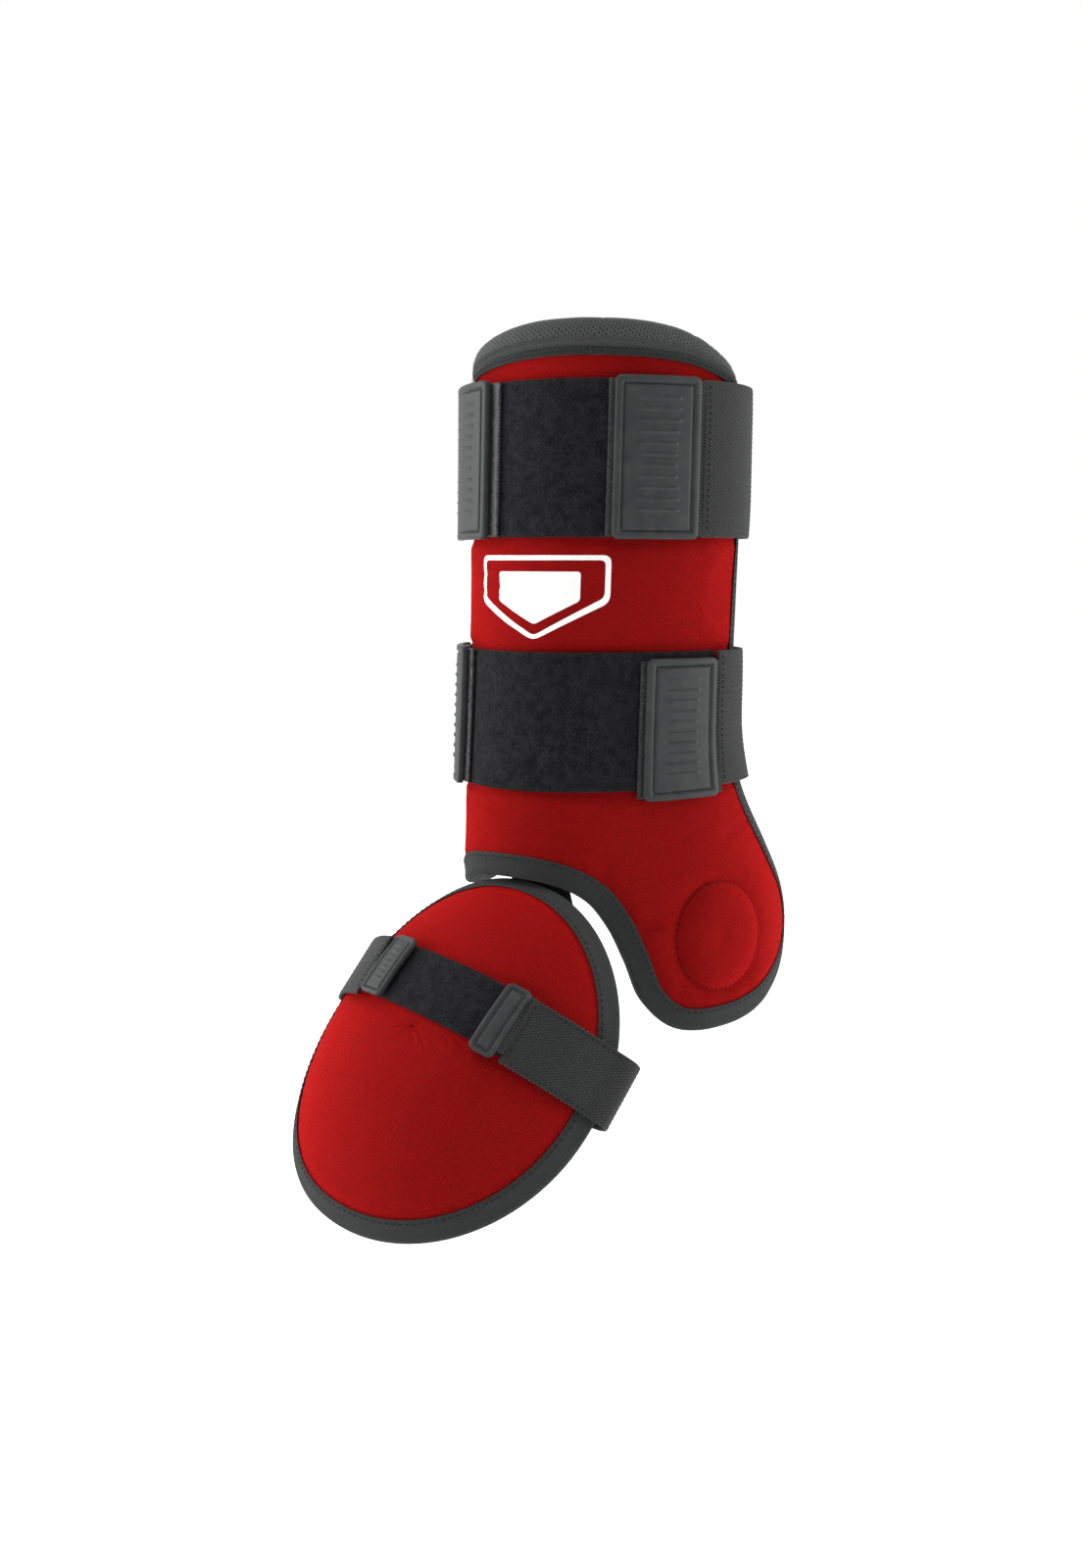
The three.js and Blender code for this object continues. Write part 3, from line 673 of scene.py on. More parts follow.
def stitches(name, places, ups, body, pitch=STITCH_PITCH, length=2.3, radius=0.28, material=None):
    """Thread lying on a seam: short beads along a line of points (mm) with surface normals."""
    run = travel(places)
    centres = np.arange(pitch / 2, run[-1] - pitch / 4, pitch)
    sides, rings = 6, [(-0.5, 0.35), (-0.38, 0.85), (0.0, 1.0), (0.38, 0.85), (0.5, 0.35)]
    points, faces = [], []
    for c in centres:
        here = read_at(c, run, places)
        ahead, behind = min(c + 0.5, run[-1]), max(c - 0.5, 0)
        along = unit(read_at(ahead, run, places) - read_at(behind, run, places))
        up = unit(read_at(c, run, ups))
        side = unit(np.cross(along, up))
        base = len(points)
        for offset, size in rings:
            sink = -abs(offset) ** 2 * radius * 3.2
            for k in range(sides):
                a = 2 * math.pi * k / sides
                across = side * math.cos(a) + up * math.sin(a)
                points.append(here + along * offset * length + across * size * radius + up * sink)
        for r in range(len(rings) - 1):
            for k in range(sides):
                a, b = base + r * sides + k, base + r * sides + (k + 1) % sides
                faces.append((a, b, b + sides, a + sides))
        faces.append(tuple(base + k for k in reversed(range(sides))))
        faces.append(tuple(base + (len(rings) - 1) * sides + k for k in range(sides)))
    return piece(name, np.array(points), faces, None, body, material=material or BLACK_THREAD,
                 smooth_angle=80)


def seam(name, lay, path, under, over, body, count=400, **more):
    """Stitches over lay(x, y, lift) along path(share) -> (x, y): thread at `over`, pointing from `under`."""
    x, y = np.broadcast_arrays(*path(np.linspace(0, 1, count)))
    thread_line = lay(x, y, np.full(count, float(over)))
    stitches(name, thread_line, thread_line - lay(x, y, np.full(count, float(under))), body, **more)


# ---- shin guard ----
def cover_lift(inset):
    """The padded cover's own relief: pulled down under the tape, proud just inside it."""
    tucked = -0.75 * np.exp(-(inset / 8.5) ** 6)
    return tucked + 0.35 * hump(inset - 15, 5)


def band_dent(y):
    """Where the sewn loop panels and the straps press into the cover."""
    dent = 0
    for strap in STRAPS.values():
        low, high = strap["low"], strap["high"]
        for away in (low - y, y - high):
            dent = dent - 0.35 * hump(away, 2.2) + 0.30 * between(away, 1, 5, 5, 22)
        dent = dent - 0.3 * between(y, low - 1, low + 3, high - 3, high + 1)
    return dent


DISC_CENTRE = math.radians(DISC["angle"]) * CHART
DISC_WIDE = stretch(np.array([DISC_CENTRE]), np.array([float(DISC["height"])]))[0]


def stack_depth(inset, full):
    """The padding thins towards the sewn edge."""
    return full - 4.2 * hump(inset, 11)


def padded_layers(side, body, sheet, lay, relief, depth, held, settled, uv, foam_every):
    """Cover, lining and foam of one shell, where lay(lift) gives the points of its sheet."""
    skin = lay(relief)
    up = unit(lay(relief + 1) - skin)
    skin = skin + up * settled(skin, held, up)[..., None]
    cover = sheet(f"{side}_cover_skin", skin, skin - up * CLOTH, "red_fabric", body, [f"{side}_cover"], uv)
    sheet(f"{side}_lining_mesh", lay(-depth + LINING), lay(-depth), "mesh_lining", body,
          [f"{side}_lining"], uv)
    top, base = (lay(lift)[::foam_every, ::foam_every] for lift in (relief - FOAM_TOP, -depth + FOAM_BASE))
    sheet(f"{side}_foam_pad", top, base, "foam", body, [f"{side}_foam"])
    return cover


def shin_layers():
    u, v = np.linspace(0, 1, 150), np.linspace(0, 1, 190)
    x, y = shin_sheet(EDGE_INSET, u, v)
    inset = edge_distance(x, y)
    past_disc = np.hypot((x - DISC_CENTRE) * DISC_WIDE, y - DISC["height"]) - DISC["radius"]
    relief = cover_lift(inset) + band_dent(y) - 1.5 * hump(past_disc, 2.4)
    relief = relief + 0.25 * np.sin(x / 17 + y / 31) * np.sin(y / 23 - x / 41)
    held = np.maximum(1 - smooth(inset, 9, 15), 1 - smooth(past_disc, 1, 6))
    for strap in STRAPS.values():
        a, b = (math.radians(angle) * CHART for angle in strap["panel"])
        sewn = between(y, strap["low"] - 5, strap["low"], strap["high"], strap["high"] + 5)
        held = np.maximum(held, sewn * between(x, a - 5, a, b, b + 5))
    return padded_layers("shin", "leg_guard", slab, lambda lift: shin(x, y, lift), relief,
                         stack_depth(inset, SHIN_STACK), held, settle,
                         np.stack([x * stretch(x, y), y], -1), foam_every=3)


def tape_section(lift_out, lift_in, points=7):
    """Closed section of folded tape as (inset, lift): out along the cover, round the edge, and back."""
    r, half = 2.2, TAPE["cloth"] / 2
    runs = np.linspace(TAPE["width"], r, points)
    path = [(t, lift_out(t) + half) for t in runs]
    top, bottom = lift_out(r) + half, lift_in(r) - half
    bends = np.linspace(0, math.pi / 2, 6)
    path += [(r - r * math.sin(a), top - r * (1 - math.cos(a))) for a in bends[1:]]
    path += [(r - r * math.cos(a), bottom + r * (1 - math.sin(a))) for a in bends[:-1]]
    path += [(t, lift_in(t) - half) for t in runs[::-1]]
    path = np.array(path)
    tangent = unit(np.gradient(path, axis=0))
    normal = np.stack([-tangent[:, 1], tangent[:, 0]], -1)
    run = travel(path)
    end = np.maximum(rim_profile(np.minimum(run, run[-1] - run), 0.6)[:, None], 0.2)
    one, two = path + normal * half * end, path - normal * half * end
    return np.concatenate([one, two[::-1]]), np.concatenate([run, run[::-1]])


def edge_run(start, end, steps):
    """Shares of the outline and the length in mm that each has run on the shin."""
    share = np.linspace(start, end, steps)
    return share, travel(shin(*pattern_edge(share, 0).T, 0))


def along_edge(share, inset):
    """A path for seam(): the pattern's points inset mm in from the stretch of outline in share."""
    return lambda s: pattern_edge(share[0] + (share[-1] - share[0]) * s, inset).T


def bind(side, body, stack, run, lay, path, count, closed=False):
    """Tape folded over an edge and two rows of stitches. lay(inset, lift) gives the tape's points."""
    def lift_out(t):
        return cover_lift(t) + TAPE["ease"] - 0.2 * hump(t - STITCH_INSET, 1.2)

    def lift_in(t):
        return -stack_depth(t, stack) - TAPE["ease"]
    section, across = tape_section(lift_out, lift_in)
    pull = hump(section[None, :, 0] - STITCH_INSET, 2.5)
    pucker = 0.12 * np.sin(run[:, None] * 2 * math.pi / STITCH_PITCH) * pull
    sweep(f"{side}_binding_tape", lay(section[None, :, 0], section[None, :, 1] + pucker), "black_tape",
          body, [f"{side}_binding"], grid_uv(run, across), closed=closed)
    surface, line = path
    over, under = lift_out(STITCH_INSET) + TAPE["cloth"] + 0.1, lift_in(STITCH_INSET) - TAPE["cloth"] - 0.1
    seam(f"{side}_binding_stitches", surface, line, over - 1, over, body, count=count)
    seam(f"{side}_binding_stitches_inside", surface, line, under + 1, under, body, count=count)


def shin_binding():
    share, run = edge_run(COLLAR["end"] + 0.004, 0.996 + COLLAR["start"], 620)

    def lay(inset, lift):
        p = pattern_edge(share[:, None], inset)
        return shin(p[..., 0], p[..., 1], lift)
    bind("shin", "leg_guard", SHIN_STACK, run, lay, (shin, along_edge(share, STITCH_INSET)), 2400)


def settle(points, held, up, loop=False, grow=0.012, pressure=0.5, cap=1.0, frames=14):
    """How far, in mm, Blender's cloth lifts each point of a sheet that is held where it is sewn.

    The sheet is cut a little larger than its place and pressed out by its filling.
    """
    rows, cols = points.shape[:2]
    size = 0.01                     # a millimetre of the piece, in the solver's metres
    last = cols if loop else cols - 1
    faces = []
    for j in range(rows - 1):
        for i in range(last):
            a, b = j * cols + i, j * cols + (i + 1) % cols
            faces.append((a, b, b + cols, a + cols))
    flat, up, held = points.reshape(-1, 3), unit(up).reshape(-1, 3), np.clip(held, 0, 1).ravel()
    a, b, _, d = faces[len(faces) // 2]
    if np.dot(np.cross(flat[b] - flat[a], flat[d] - flat[a]), up[a]) < 0:
        faces = [face[::-1] for face in faces]
    bumps = np.random.default_rng(11).normal(0, 0.05, len(flat)) * (1 - held)
    mesh = bpy.data.meshes.new("settling")
    mesh.from_pydata(((flat + up * bumps[:, None]) * size).tolist(), [], faces)
    obj = bpy.data.objects.new("settling", mesh)
    bpy.context.collection.objects.link(obj)
    pins = obj.vertex_groups.new(name="pins")
    for i in np.nonzero(held > 0.01)[0]:
        pins.add([int(i)], float(held[i]), "REPLACE")
    cloth = obj.modifiers.new("cloth", "CLOTH")
    cloth.collision_settings.use_collision = False
    cloth.point_cache.frame_end = frames
    settings = cloth.settings
    settings.vertex_group_mass = "pins"
    settings.quality = 5
    settings.mass = 0.2
    settings.tension_stiffness = settings.compression_stiffness = 12
    settings.bending_stiffness = 0.4
    settings.shrink_min = settings.shrink_max = -grow
    settings.use_pressure = True
    settings.uniform_pressure_force = pressure
    settings.effector_weights.gravity = 0
    for number in range(1, frames + 1):
        bpy.context.scene.frame_set(number)
    drape = obj.evaluated_get(bpy.context.evaluated_depsgraph_get()).data
    after = np.zeros(len(drape.vertices) * 3)
    drape.vertices.foreach_get("co", after)
    bpy.context.scene.frame_set(1)
    bpy.data.objects.remove(obj)
    rise = ((after.reshape(-1, 3) / size - flat) * up).sum(-1)
    rise = cap * np.tanh(np.nan_to_num(rise) / cap) * (1 - held)
    return np.maximum(rise, -0.4).reshape(rows, cols)


def settle_round(points, held, up, **more):
    """settle() for rings x turns whose first ring is one middle point."""
    rise = settle(points[1:], held[1:], up[1:], loop=True, **more)
    return np.vstack([np.full((1, rise.shape[1]), rise[0].mean()), rise])


def top_collar():
    """Rolled mesh collar: a padded tube whose lower edge is sewn into the top of the guard."""
    share, run = edge_run(COLLAR["start"], COLLAR["end"], 170)
    rx, rz = COLLAR["half"]
    sides = 24
    a = (np.arange(sides) + 0.5) / sides * 2 * math.pi
    along = (share - share[0]) / (share[-1] - share[0])
    taper = 0.28 + 0.72 * between(along, 0, 0.5, 0.62, 1.04)
    edge = pattern_edge(share, 0)
    up = (np.sin(a) + 1) * rz + np.where(np.sin(a) > 0, COLLAR["rise"] * smooth(np.sin(a), 0, 0.6), 0)
    width = rx * np.cos(a) * (0.62 + 0.38 * smooth(np.sin(a), -1, 0.2))
    y = edge[:, None, 1] + up * taper[:, None] - 2.1
    lift = width * (0.55 + 0.45 * taper[:, None]) - SHIN_STACK / 2 + 0.6
    sections = shin(edge[:, None, 0], y, lift)
    uv = grid_uv(run, 1.9 * np.arange(sides))
    low = np.broadcast_to(1 - smooth(np.sin(a), -0.6, 0.2), (len(share), sides))
    ends = 1 - smooth(np.minimum(along, 1 - along), 0.01, 0.05)[:, None]
    up = sections - sections.mean(axis=1, keepdims=True)
    rise = settle(sections, np.maximum(low, ends), up, loop=True, grow=0.02, cap=0.9)
    sections = sections + unit(up) * rise[..., None]
    collar = sweep("top_collar_roll", sections, "mesh_lining", "leg_guard", ["top_collar"], uv,
                   smooth_angle=80)
    seam("collar_stitches", shin, along_edge(share, 1.6), 0, 1.15, "leg_guard", count=900)


def top_tape():
    """Narrow flat tape over the joint between the red cover and the mesh collar."""
    share, run = edge_run(COLLAR["start"], COLLAR["end"], 300)
    width = 4.2
    t = spaced(width, 0.7, 0.5)
    inset = 3.4 - t
    lift = cover_lift(np.maximum(inset, 0)) + 0.75 - 1.9 * smooth(-inset, -1.2, 1.2)
    half = 0.45 * np.maximum(rim_profile(np.minimum(t, width - t), 0.5), 0.15)
    p = pattern_edge(share[:, None], inset[None, :])
    uv = grid_uv(run, t)
    outer = shin(p[..., 0], p[..., 1], lift + half)
    inner = shin(p[..., 0], p[..., 1], lift - half)
    slab("top_tape", outer, inner, "black_tape", "leg_guard", (), uv)


def ankle_disc():
    """Puffed disc of the cover's own cloth, quilted round its rim."""
    rings, turns = 30, 120
    r = np.sin(np.linspace(0, 1, rings) * math.pi / 2)
    turn = np.arange(turns) / turns
    rr, tt = np.meshgrid(r, turn, indexing="ij")

    def place(radius, turn):
        return (DISC_CENTRE + radius * np.cos(turn * 2 * math.pi) / DISC_WIDE,
                DISC["height"] + radius * np.sin(turn * 2 * math.pi))
    x, y = place(DISC["radius"] * rr, tt)
    pull = 0.18 * np.sin(tt * 60 * math.pi) * rr ** 12
    lift = -1.0 + 3.6 * (1 - rr ** 5) ** 0.8 - 0.5 * (1 - rr) + pull
    uv = np.stack([x * DISC_WIDE, y], -1)
    skin = shin(x, y, lift)
    up = unit(shin(x, y, lift + 1) - skin)
    skin = skin + up * settle_round(skin, smooth(rr, 0.84, 0.97), up, cap=0.6)[..., None]
    disc = disc_sheet("ankle_disc_pad", skin, shin(x, y, lift * 0 - 1.5), "red_fabric", "leg_guard",
                      ["ankle_disc"], uv)
    seam("ankle_disc_stitches", shin, lambda s: place(DISC["radius"] - 0.7, s), -2, -0.45, "leg_guard",
         count=600, pitch=2.9, length=2.0, radius=0.42, material=RED_THREAD)


def band(from_angle, top):
    """Surface for a strip that starts at an angle and hangs down from a height."""
    def surface(s, t, lift):
        return shin(math.radians(from_angle) * CHART + s, top - t, lift)
    return surface


def girth(from_angle, to_angle):
    return math.radians(to_angle - from_angle) * CHART


def loop_panels():
    for name, strap in STRAPS.items():
        a, b = strap["panel"]
        length, width = girth(a, b), strap["high"] - strap["low"]
        rng = np.random.default_rng(7 if name == "upper" else 8)
        nap = lambda ss, tt: rng.normal(0, 0.075, ss.shape)
        sewn_strip(f"{name}_loop_pile", band(a, strap["high"]), length, width, PANEL_LIFT, PANEL_THICK,
                   "loop_fabric", "leg_guard", [f"{name}_loop_panel"], step=(0.9, 0.9), rim=1.0, wave=nap)
        for edge, y in (("top", strap["high"] - 1.7), ("bottom", strap["low"] + 1.7)):
            seam(f"{name}_panel_stitches_{edge}", shin,
                 lambda s: (math.radians(a) * CHART + 1.5 + (length - 3) * s, y),
                 0, PANEL_LIFT + PANEL_THICK - 0.02, "leg_guard", count=500, radius=0.24)


def elastics():
    for name, strap in STRAPS.items():
        seam_angle = math.degrees(SEAM / CHART)
        a, b = strap["right"][1] + seam_angle, 360 + strap["left"][0] - seam_angle
        length, width = girth(a, b), strap["high"] - strap["low"]

        def surface(s, t, lift):
            slack = strap["slack"] * np.sin(math.pi * s / length) ** 4
            angle, height = a + np.degrees(s / CHART), strap["high"] - t
            flare = (SHIN["malleolus"] - SHIN["calf"]) * (1 - smooth(height, -10, 100))
            pulled = flare * np.sin(np.radians(angle)) * between(angle, 124, 140, 170, 180)
            tuck = strap["tuck"] * between(angle, 116, 140, 160, 200)
            curl = 0.5 * (2 * t / width - 1) ** 4
            return shin(np.radians(angle) * CHART, height, lift - slack - pulled - tuck - curl)

        ribs = lambda ss, tt: 0.09 * np.cos(tt * 2 * math.pi / 2.4) + 0.15 * np.sin(ss / 9) * np.sin(tt / 13)
        sewn_strip(f"{name}_elastic_band", surface, length, width, ELASTIC_LIFT, ELASTIC_THICK,
                   "black_elastic", "leg_guard", [f"{name}_elastic"], step=(1.8, 0.6), rim=0.7, wave=ribs)
        for side, s0 in (("right", 3.0), ("left", length - 3.0)):
            seam(f"{name}_{side}_tab_stitches", surface, lambda s: (s0, 2 + (width - 4) * s),
                 0, ELASTIC_LIFT + ELASTIC_THICK + 0.12, "leg_guard", count=200, pitch=3.0)


def rubber_relief(ss, tt, length, width, small=False):
    """Height over the plate's face: a raised rim, a sunk panel and grip ribs."""
    inside = border(ss, tt, length, width)
    rim = 2.4 if small else 3.8
    groove = -1.15 * hump(inside - rim, 0.6)
    field = -0.25 * smooth(inside, rim, rim + 0.8)
    pad = rim + (2.5 if small else 5.0)
    rib = 0.8 * np.maximum(0, np.cos(tt * 2 * math.pi / (3.0 if small else 5.2))) ** 4
    centre = np.abs(ss - length / 2)
    reach = (length / 2 - pad) * (1 - 0.25 * np.cos((tt - width / 2) * math.pi / (width / 2 + 6)))
    ribs = rib * (1 - smooth(centre, reach - 0.6, reach + 0.6)) * smooth(inside, pad, pad + 2.5)
    return groove + field + ribs


def rubber_plate(name, surface, length, width, thick, body, node, small=False):
    s, t = spaced(length, 0.45, 1.2), spaced(width, 0.45, 1.2)
    ss, tt = np.meshgrid(s, t)
    inside = border(ss, tt, length, width)
    corner = 3.0
    cx = np.maximum(corner - np.minimum(ss, length - ss), 0)
    cy = np.maximum(corner - np.minimum(tt, width - tt), 0)
    square = np.maximum(cx, cy)
    round_off = np.where((cx > 0) & (cy > 0), square / np.maximum(np.hypot(cx, cy), 1e-6), 1.0)
    ps = ss + np.sign(length / 2 - ss) * cx * (1 - round_off)
    pt = tt + np.sign(width / 2 - tt) * cy * (1 - round_off)
    edge = rim_profile(inside, 1.2)
    top = RUBBER_LIFT + thick - 1.1 * (1 - edge) + rubber_relief(ss, tt, length, width, small)
    base = RUBBER_LIFT + 0.5 * (1 - edge)
    return slab(name, surface(ps, pt, top), surface(ps, pt, base), "black_rubber", body, [node],
                uv=np.stack([ss, tt], -1), smooth_angle=60)


def pull_tabs():
    for name, strap in STRAPS.items():
        for side in ("left", "right"):
            a, b = strap[side]
            drop = strap["drop"] if side == "right" else 0
            high = strap["high"] + 1 - drop
            length, width = girth(a, b), strap["high"] - strap["low"] + 2
            body = f"{name}_{side}_tab"
            rubber_plate(f"{name}_{side}_rubber", band(a, high), length, width, RUBBER_THICK,
                         body, f"{name}_{side}_pull_tab")
            edge, outward = (b, 1) if side == "right" else (a, -1)
            seam_bridge(body, band(edge, high - 1.6), width - 3.2, ELASTIC_LIFT + 0.3, outward)
            shown = math.degrees(strap["hooks"][side] / CHART)
            c, d = (a - shown, b - 3) if side == "right" else (a + 3, b + shown)
            hook_patch(f"{name}_{side}_hooks", band(c, high - 1.2), girth(c, d), width - 2.4,
                       body, f"{name}_{side}_hook_patch")


def seam_bridge(tab, surface, width, lift, outward):
    """Elastic across the open seam beside a tab.

    surface(0, ...) is the tab's edge, and the seam lies on its outward side, +1 or -1 along the strap.
    """
    from_s, to_s = (-0.9, SEAM + 0.9) if outward > 0 else (-SEAM - 0.9, 0.9)
    moved = lambda s, t, level: surface(s + from_s, t, level)
    strip = sewn_strip(f"{tab}_seam", moved, to_s - from_s, width, lift, 1.1, "black_elastic", None,
                       step=(0.5, 1.5), rim=0.25)
    at = lambda s: tuple((surface(np.array([s]), np.array([width / 2]), np.array([lift]))).ravel() * MM)
    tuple(at(outward * SEAM))
    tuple(at(0.0))
    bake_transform(strip)


def hook_patch(name, surface, length, width, body, node):
    rng = np.random.default_rng(len(name))
    bristle = lambda ss, tt: rng.normal(0, 0.16, ss.shape)
    sewn_strip(name, surface, length, width, HOOK_LIFT, HOOK_THICK + 0.3, "hook_plastic", body, [node],
               step=(0.8, 0.8), rim=0.8, wave=bristle)


def plate_corners(scale):
    w, h = BADGE["width"] / 2 * scale, BADGE["tall"] / 2 * scale
    return np.array([(-w, h), (w, h), (w, -0.1 * h), (0, -h), (-w, -0.1 * h)])


def polygon_run(corners, count, rounding):
    """Points round a polygon with softened corners, as a closed run."""
    n = len(corners)
    out = []
    for k in range(n):
        a, b, c = corners[k - 1], corners[k], corners[(k + 1) % n]
        into, away = (a - b) / np.linalg.norm(a - b), (c - b) / np.linalg.norm(c - b)
        for w in np.linspace(0, 1, count):
            start, end = b + into * rounding, b + away * rounding
            out.append((1 - w) ** 2 * start + 2 * w * (1 - w) * b + w * w * end)
    loop = np.array([*out, out[0]])
    lengths = travel(loop)
    return read_at(np.linspace(0, lengths[-1], 240, endpoint=False), lengths, loop)


def on_cover(surface_tree, points, normals, lift):
    """Points dropped along the shin's normals on to the finished cover, then raised by lift mm."""
    out = np.array(points)
    for i, (p, n) in enumerate(zip(points, normals)):
        hit = surface_tree.ray_cast(Vector((p + n * 8) * MM), Vector(-n), 0.03)
        if hit[0] is not None:
            out[i] = np.array(hit[0]) / MM + n * lift
    return out


def badge(cover):
    """Printed emblem: a home-plate outline round a smaller solid plate, flat on the cover."""
    tree = BVHTree.FromObject(cover, bpy.context.evaluated_depsgraph_get())
    middle = math.radians(BADGE["angle"]) * CHART

    def raised(xy, lift):
        x, y = middle + xy[..., 0], BADGE["height"] + xy[..., 1]
        base, up = shin(x, y, 0).reshape(-1, 3), shin(x, y, 1).reshape(-1, 3)
        return on_cover(tree, base, unit(up - base), lift).reshape(*xy.shape[:-1], 3)

    outer = polygon_run(plate_corners(1.0), 8, 4.0)
    line_width = np.sign(plate_corners(1.0)) * np.array([2.6, 2.4])
    inner = polygon_run(plate_corners(1.0) - line_width, 8, 2.6)
    steps = np.linspace(0, 1, 5)[:, None, None]
    ring = outer[None] * (1 - steps) + inner[None] * steps
    slab("badge_outline", raised(ring, 0.16), raised(ring, -0.1), "white_print", "leg_guard",
         ["printed_badge"], uv=ring, loop=True)
    solid = polygon_run(plate_corners(0.62), 8, 1.8)
    steps = np.linspace(0, 1, 16)[:, None, None]
    disc = solid[None] * steps
    disc_sheet("badge_plate", raised(disc, 0.16), raised(disc, -0.1), "white_print", "leg_guard", uv=disc)


# ---- foot guard ----
def foot_layers():
    rings, turns = 60, 220
    turn = np.arange(turns) / turns
    edge = foot_share(turn, EDGE_INSET)
    r = np.linspace(0, 1, rings)[:, None]
    share, tt = r * edge[None], np.broadcast_to(turn, (rings, turns))
    inset = np.linalg.norm(foot_face(tt, share) - foot_face(tt, np.ones(1)), axis=-1)
    flat = foot_face(tt, share)
    near, far = -FOOT_STRAP["near"], -FOOT_STRAP["far"]
    y = flat[..., 1]
    press = -0.3 * between(y, far - 1, far + 3, near - 3, near + 1)
    relief = cover_lift(inset) + press + 0.2 * np.sin(flat[..., 0] / 19) * np.sin(y / 27)
    sewn = between(y, far - 5, far, near, near + 5)
    held = np.maximum(1 - smooth(inset, 9, 15), sewn * (1 - smooth(np.abs(flat[..., 0]), 44, 52)))
    padded_layers("foot", "foot_guard", disc_sheet, lambda lift: foot_world(foot(tt, share, lift)), relief,
                  stack_depth(inset, FOOT_STACK) - 0.2, held, settle_round, flat[..., :2], foam_every=1)


def foot_binding():
    steps = 480
    turn = np.arange(steps) / steps

    def surface(turn, share, lift):
        return foot_world(foot(turn, share, lift))

    def lay(inset, lift):
        return surface(turn[:, None], foot_share(turn[:, None], inset), lift)
    run = travel(surface(turn, np.ones(1), 0))
    path = (surface, lambda s: (s, foot_share(s, STITCH_INSET)))
    bind("foot", "foot_guard", FOOT_STACK - 0.2, run, lay, path, 1500, closed=True)


def foot_band(from_x, near):
    def surface(s, t, lift):
        return foot_world(foot_at(from_x + s, -(near + t), lift))
    return surface


def foot_strap():
    near, far = FOOT_STRAP["near"], FOOT_STRAP["far"]
    a, b = FOOT_STRAP["panel"]
    rng = np.random.default_rng(9)
    nap = lambda ss, tt: rng.normal(0, 0.075, ss.shape)
    sewn_strip("foot_loop_pile", foot_band(a, near), b - a, far - near, PANEL_LIFT, PANEL_THICK,
               "loop_fabric", "foot_guard", ["foot_loop_strip"], step=(0.9, 0.9), rim=1.0, wave=nap)
    for edge, y in (("near", near + 1.7), ("far", far - 1.7)):
        seam(f"foot_panel_stitches_{edge}", foot_band(a, 0), lambda s: (1.5 + (b - a - 3) * s, y),
             0, PANEL_LIFT + PANEL_THICK - 0.02, "foot_guard", count=300, radius=0.24)
    for side in ("left", "right"):
        c, d = FOOT_STRAP[side]
        body = f"foot_{side}_tab"
        tall = far - near + 2 + (FOOT_STRAP["wide"] if side == "right" else 0)
        rubber_plate(f"foot_{side}_rubber", foot_band(c, near - 1), d - c, tall, RUBBER_THICK - 0.8,
                     body, f"foot_{side}_pull_tab", small=True)
        edge, outward = (d, 1) if side == "right" else (c, -1)
        seam_bridge(body, foot_band(edge, near + 0.4), far - near - 0.8,
                    ELASTIC_LIFT + 0.3, outward)
        hook_patch(f"foot_{side}_hooks", foot_band(c + 1.5, near + 2), d - c - 3, far - near - 4,
                   body, f"foot_{side}_hook_patch")


def open_spline(points, samples):
    """An open centripetal Catmull-Rom curve, evenly spaced by length."""
    p = np.array(points, float)
    ends = np.vstack([2 * p[0] - p[1], p, 2 * p[-1] - p[-2]])
    fine = []
    for k in range(len(p) - 1):
        fine += [catmull_rom(*ends[k:k + 4], w) for w in np.linspace(0, 1, 24, endpoint=False)]
    fine = np.array(fine + [p[-1]])
    run = travel(fine)
    return read_at(np.linspace(0, run[-1], samples), run, fine), run[-1]


def foot_elastic():
    near, far = FOOT_STRAP["near"], FOOT_STRAP["far"]
    middle = -(near + far) / 2
    over = ELASTIC_LIFT - np.array([0, 0.6, 1.4, 2.0])
    wide = far - near + FOOT_STRAP["wide"]
    right = foot_at([FOOT_STRAP["right"][1] + SEAM, 62, 70, 77], middle, over)
    left = foot_at([-77, -66, -52, FOOT_STRAP["left"][0] - SEAM], middle, over[::-1])
    (rim_x, rim_z), (turn_x, turn_z), sole = FOOT_STRAP["rim"], FOOT_STRAP["turn"], FOOT_STRAP["sole"]
    sag = FOOT_STRAP["sag"]
    down = [(rim_x, middle, rim_z), (turn_x, middle, turn_z), (44, middle, sole - 0.7 * sag),
            (0, middle, sole - sag)]
    back = [(-x, y, z) for x, y, z in down[2::-1]]
    route = [*right, *down, *back, *left]
    path, length = open_spline(route, 320)
    tangent = unit(np.gradient(path, axis=0))
    out = unit(np.stack([-tangent[:, 2], 0 * tangent[:, 0], tangent[:, 0]], -1))
    flip = np.sign(out[:, 0] * path[:, 0] + out[:, 2] * (path[:, 2] + 18))
    out = out * flip[:, None]
    s_path = np.linspace(0, length, len(path))

    def surface(s, t, lift):
        p, n = read_at(s, s_path, path), read_at(s, s_path, out)
        p[..., 1] = -near - t
        return foot_world(p + unit(n) * lift[..., None])

    ribs = lambda ss, tt: 0.09 * np.cos(tt * 2 * math.pi / 2.4)
    sewn_strip("foot_elastic_band", surface, length, wide, 0.0, ELASTIC_THICK, "black_elastic", "foot_guard",
               ["foot_elastic"], step=(1.6, 0.6), rim=0.7, wave=ribs)
    over = ELASTIC_THICK + 0.1
    for side, s0 in (("right", 2.6), ("left", length - 2.6)):
        seam(f"foot_{side}_tab_stitches", surface, lambda s: (s0, 2 + (wide - 4) * s), 0, over,
             "foot_guard", count=120, pitch=2.8)
    for edge, t0 in (("near", 1.8), ("far", wide - 1.8)):
        seam(f"foot_elastic_{edge}_stitches", surface, lambda s: (4 + 44 * s, t0), 0, over,
             "foot_guard", count=160, pitch=3.0)


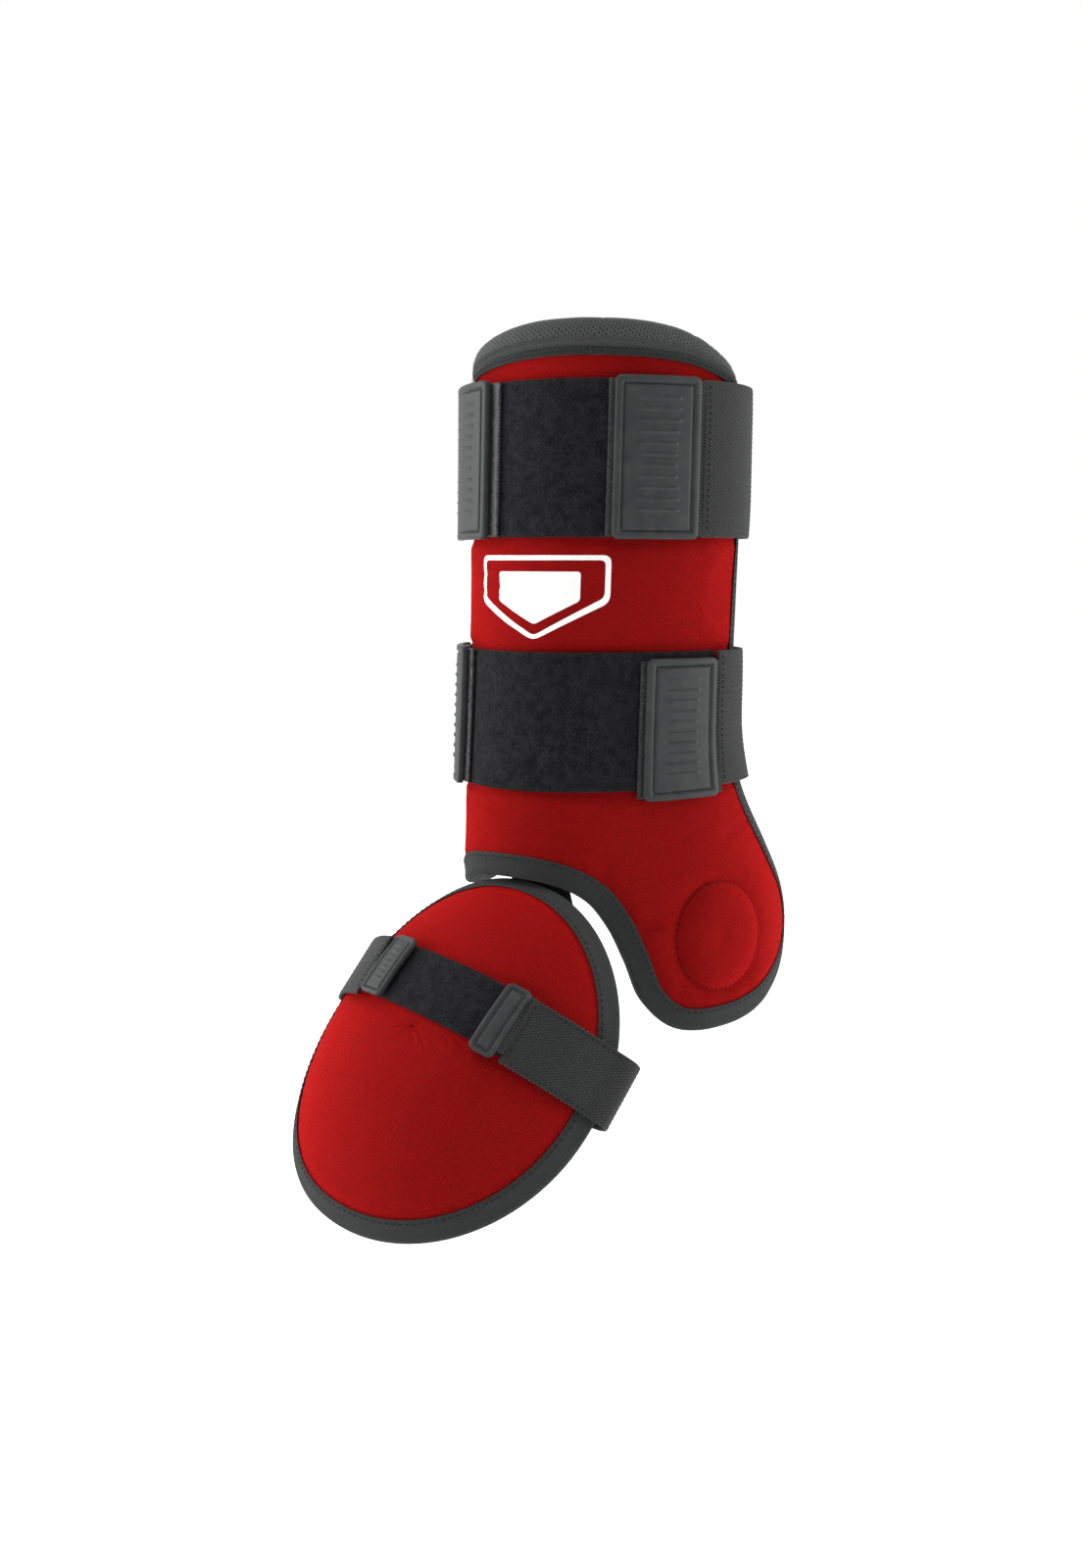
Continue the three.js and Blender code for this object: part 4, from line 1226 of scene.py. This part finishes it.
# ---- webbing connector ----
def connector():
    """One webbing tab: sewn under the foot guard's heel edge, turned up inside the shin guard."""
    half, sewn = CONNECTOR["half"], CONNECTOR["sewn"]
    lift = -FOOT_STACK - 0.7 - TAPE["cloth"] - 0.9 - WEB
    columns = spaced(2 * half, 1.2, 0.6)
    turn = np.arcsin((columns - half) / FOOT["half_width"]) / (2 * math.pi)
    under = lambda inset: foot_world(foot(turn, foot_share(turn, inset), lift))
    rim = under(0.5)
    out = unit(rim - under(2.0))
    lower = [under(sewn), under(sewn - 5), under(sewn - 10), under(5), rim]
    lower += [rim + out * 2.6 + np.array([0, 0, 1.2]), rim + out * 3.6 + np.array([0, 0, 4.6])]
    a, b = CONNECTOR["angles"]
    girths = np.radians(a + (b - a) * columns / (2 * half)) * CHART
    inner = -SHIN_STACK - PATCH_GAP - PATCH_THICK - 0.6 - WEB
    heights = (CONNECTOR["fold"], 36, 44, 53, CONNECTOR["top"])
    upper = [shin(girths, np.full_like(girths, z), inner) for z in heights]
    route = np.array(lower + upper)
    fine = np.stack([open_spline(route[:, i], 90)[0] for i in range(route.shape[1])], 1)
    normal = unit(np.cross(unit(np.gradient(fine, axis=1)), unit(np.gradient(fine, axis=0))))
    length = 82
    t = np.linspace(0, length, fine.shape[0])[:, None]
    inside = border(t, columns[None], length, 2 * half)
    thick = WEB * np.maximum(rim_profile(inside, 0.6), 0.2)[..., None]
    uv = np.stack(np.broadcast_arrays(columns[None], t), -1)
    webbing = slab("connector_webbing", fine + normal * thick, fine - normal * thick, "black_tape", None,
                   ["connector_upper_tab", "connector_lower_tab"], uv)
    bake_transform(webbing)


def connector_patch():
    a, b = CONNECTOR["angles"]
    low, high = CONNECTOR["fold"] + 14, CONNECTOR["top"] + 6
    lift = -SHIN_STACK - PATCH_GAP - PATCH_THICK
    sewn_strip("connector_loop_pile", band(a - 5, high), girth(a - 5, b + 5), high - low, lift,
               PATCH_THICK + 0.5, "loop_fabric", "leg_guard", ["connector_loop_patch"],
               step=(1.2, 1.2), rim=0.8)


# ---- studio ----
def studio():
    """White surroundings, a little dimmer behind the camera, and a soft box on either side."""
    bpy.context.scene.view_settings.view_transform = "Standard"
    world = bpy.data.worlds.new("studio")
    world.use_nodes = True
    nodes, links = world.node_tree.nodes, world.node_tree.links
    a = math.radians(CAMERA["azimuth"])
    facing = nodes.new("ShaderNodeVectorMath")
    facing.operation = "DOT_PRODUCT"
    facing.inputs[1].default_value = (math.sin(a), -math.cos(a), 0.1)
    links.new(nodes.new("ShaderNodeTexCoord").outputs["Generated"], facing.inputs[0])
    fade = nodes.new("ShaderNodeMapRange")
    fade.interpolation_type = "SMOOTHSTEP"
    for index, value in enumerate((WORLD["from"], 1.0, WORLD["bright"], WORLD["dim"])):
        fade.inputs[index + 1].default_value = value
    links.new(facing.outputs["Value"], fade.inputs[0])
    background = nodes["Background"]
    background.inputs[0].default_value = (1, 1, 1, 1)
    links.new(fade.outputs[0], background.inputs[1])
    bpy.context.scene.world = world

    size, low = 6.0, -0.20
    corners = [(-size, -size, low), (size, -size, low), (size, size, low), (-size, size, low)]
    mesh = bpy.data.meshes.new("floor")
    mesh.from_pydata(corners, [], [(0, 1, 2, 3)])
    floor = bpy.data.objects.new("floor", mesh)
    bpy.context.collection.objects.link(floor)
    s = Shader("pale_floor", (0.9, 0.9, 0.9), 0.9)
    s.tint(s.noise(s.place(), 40, detail=2), (0.93, 0.93, 0.93), (0.96, 0.96, 0.96))
    s.bsdf.inputs["Emission Color"].default_value = (1, 1, 1, 1)
    s.bsdf.inputs["Emission Strength"].default_value = 0.3
    mesh.materials.append(s.material)

    for name, azimuth, elevation, size, power in SOFT_BOXES:
        a, e = math.radians(azimuth), math.radians(elevation)
        light = bpy.data.lights.new(name, "AREA")
        light.size = size
        light.energy = power
        box = bpy.data.objects.new(name, light)
        direction = Vector((math.sin(a) * math.cos(e), -math.cos(a) * math.cos(e), math.sin(e)))
        box.location = direction * 1.6 + Vector((0, 0, 0.1))
        box.rotation_euler = direction.to_track_quat("Z", "Y").to_euler()
        bpy.context.collection.objects.link(box)


cover = shin_layers()
shin_binding()
top_collar()
top_tape()
ankle_disc()
loop_panels()
elastics()
pull_tabs()
badge(cover)
foot_layers()
foot_binding()
foot_strap()
foot_elastic()
connector_patch()
connector()
for shell in ("shin_hard_shell", "foot_hard_shell"):
    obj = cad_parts[shell]
    obj.data.materials.clear()
    obj.data.materials.append(MATERIALS["shell_plastic"])
studio()
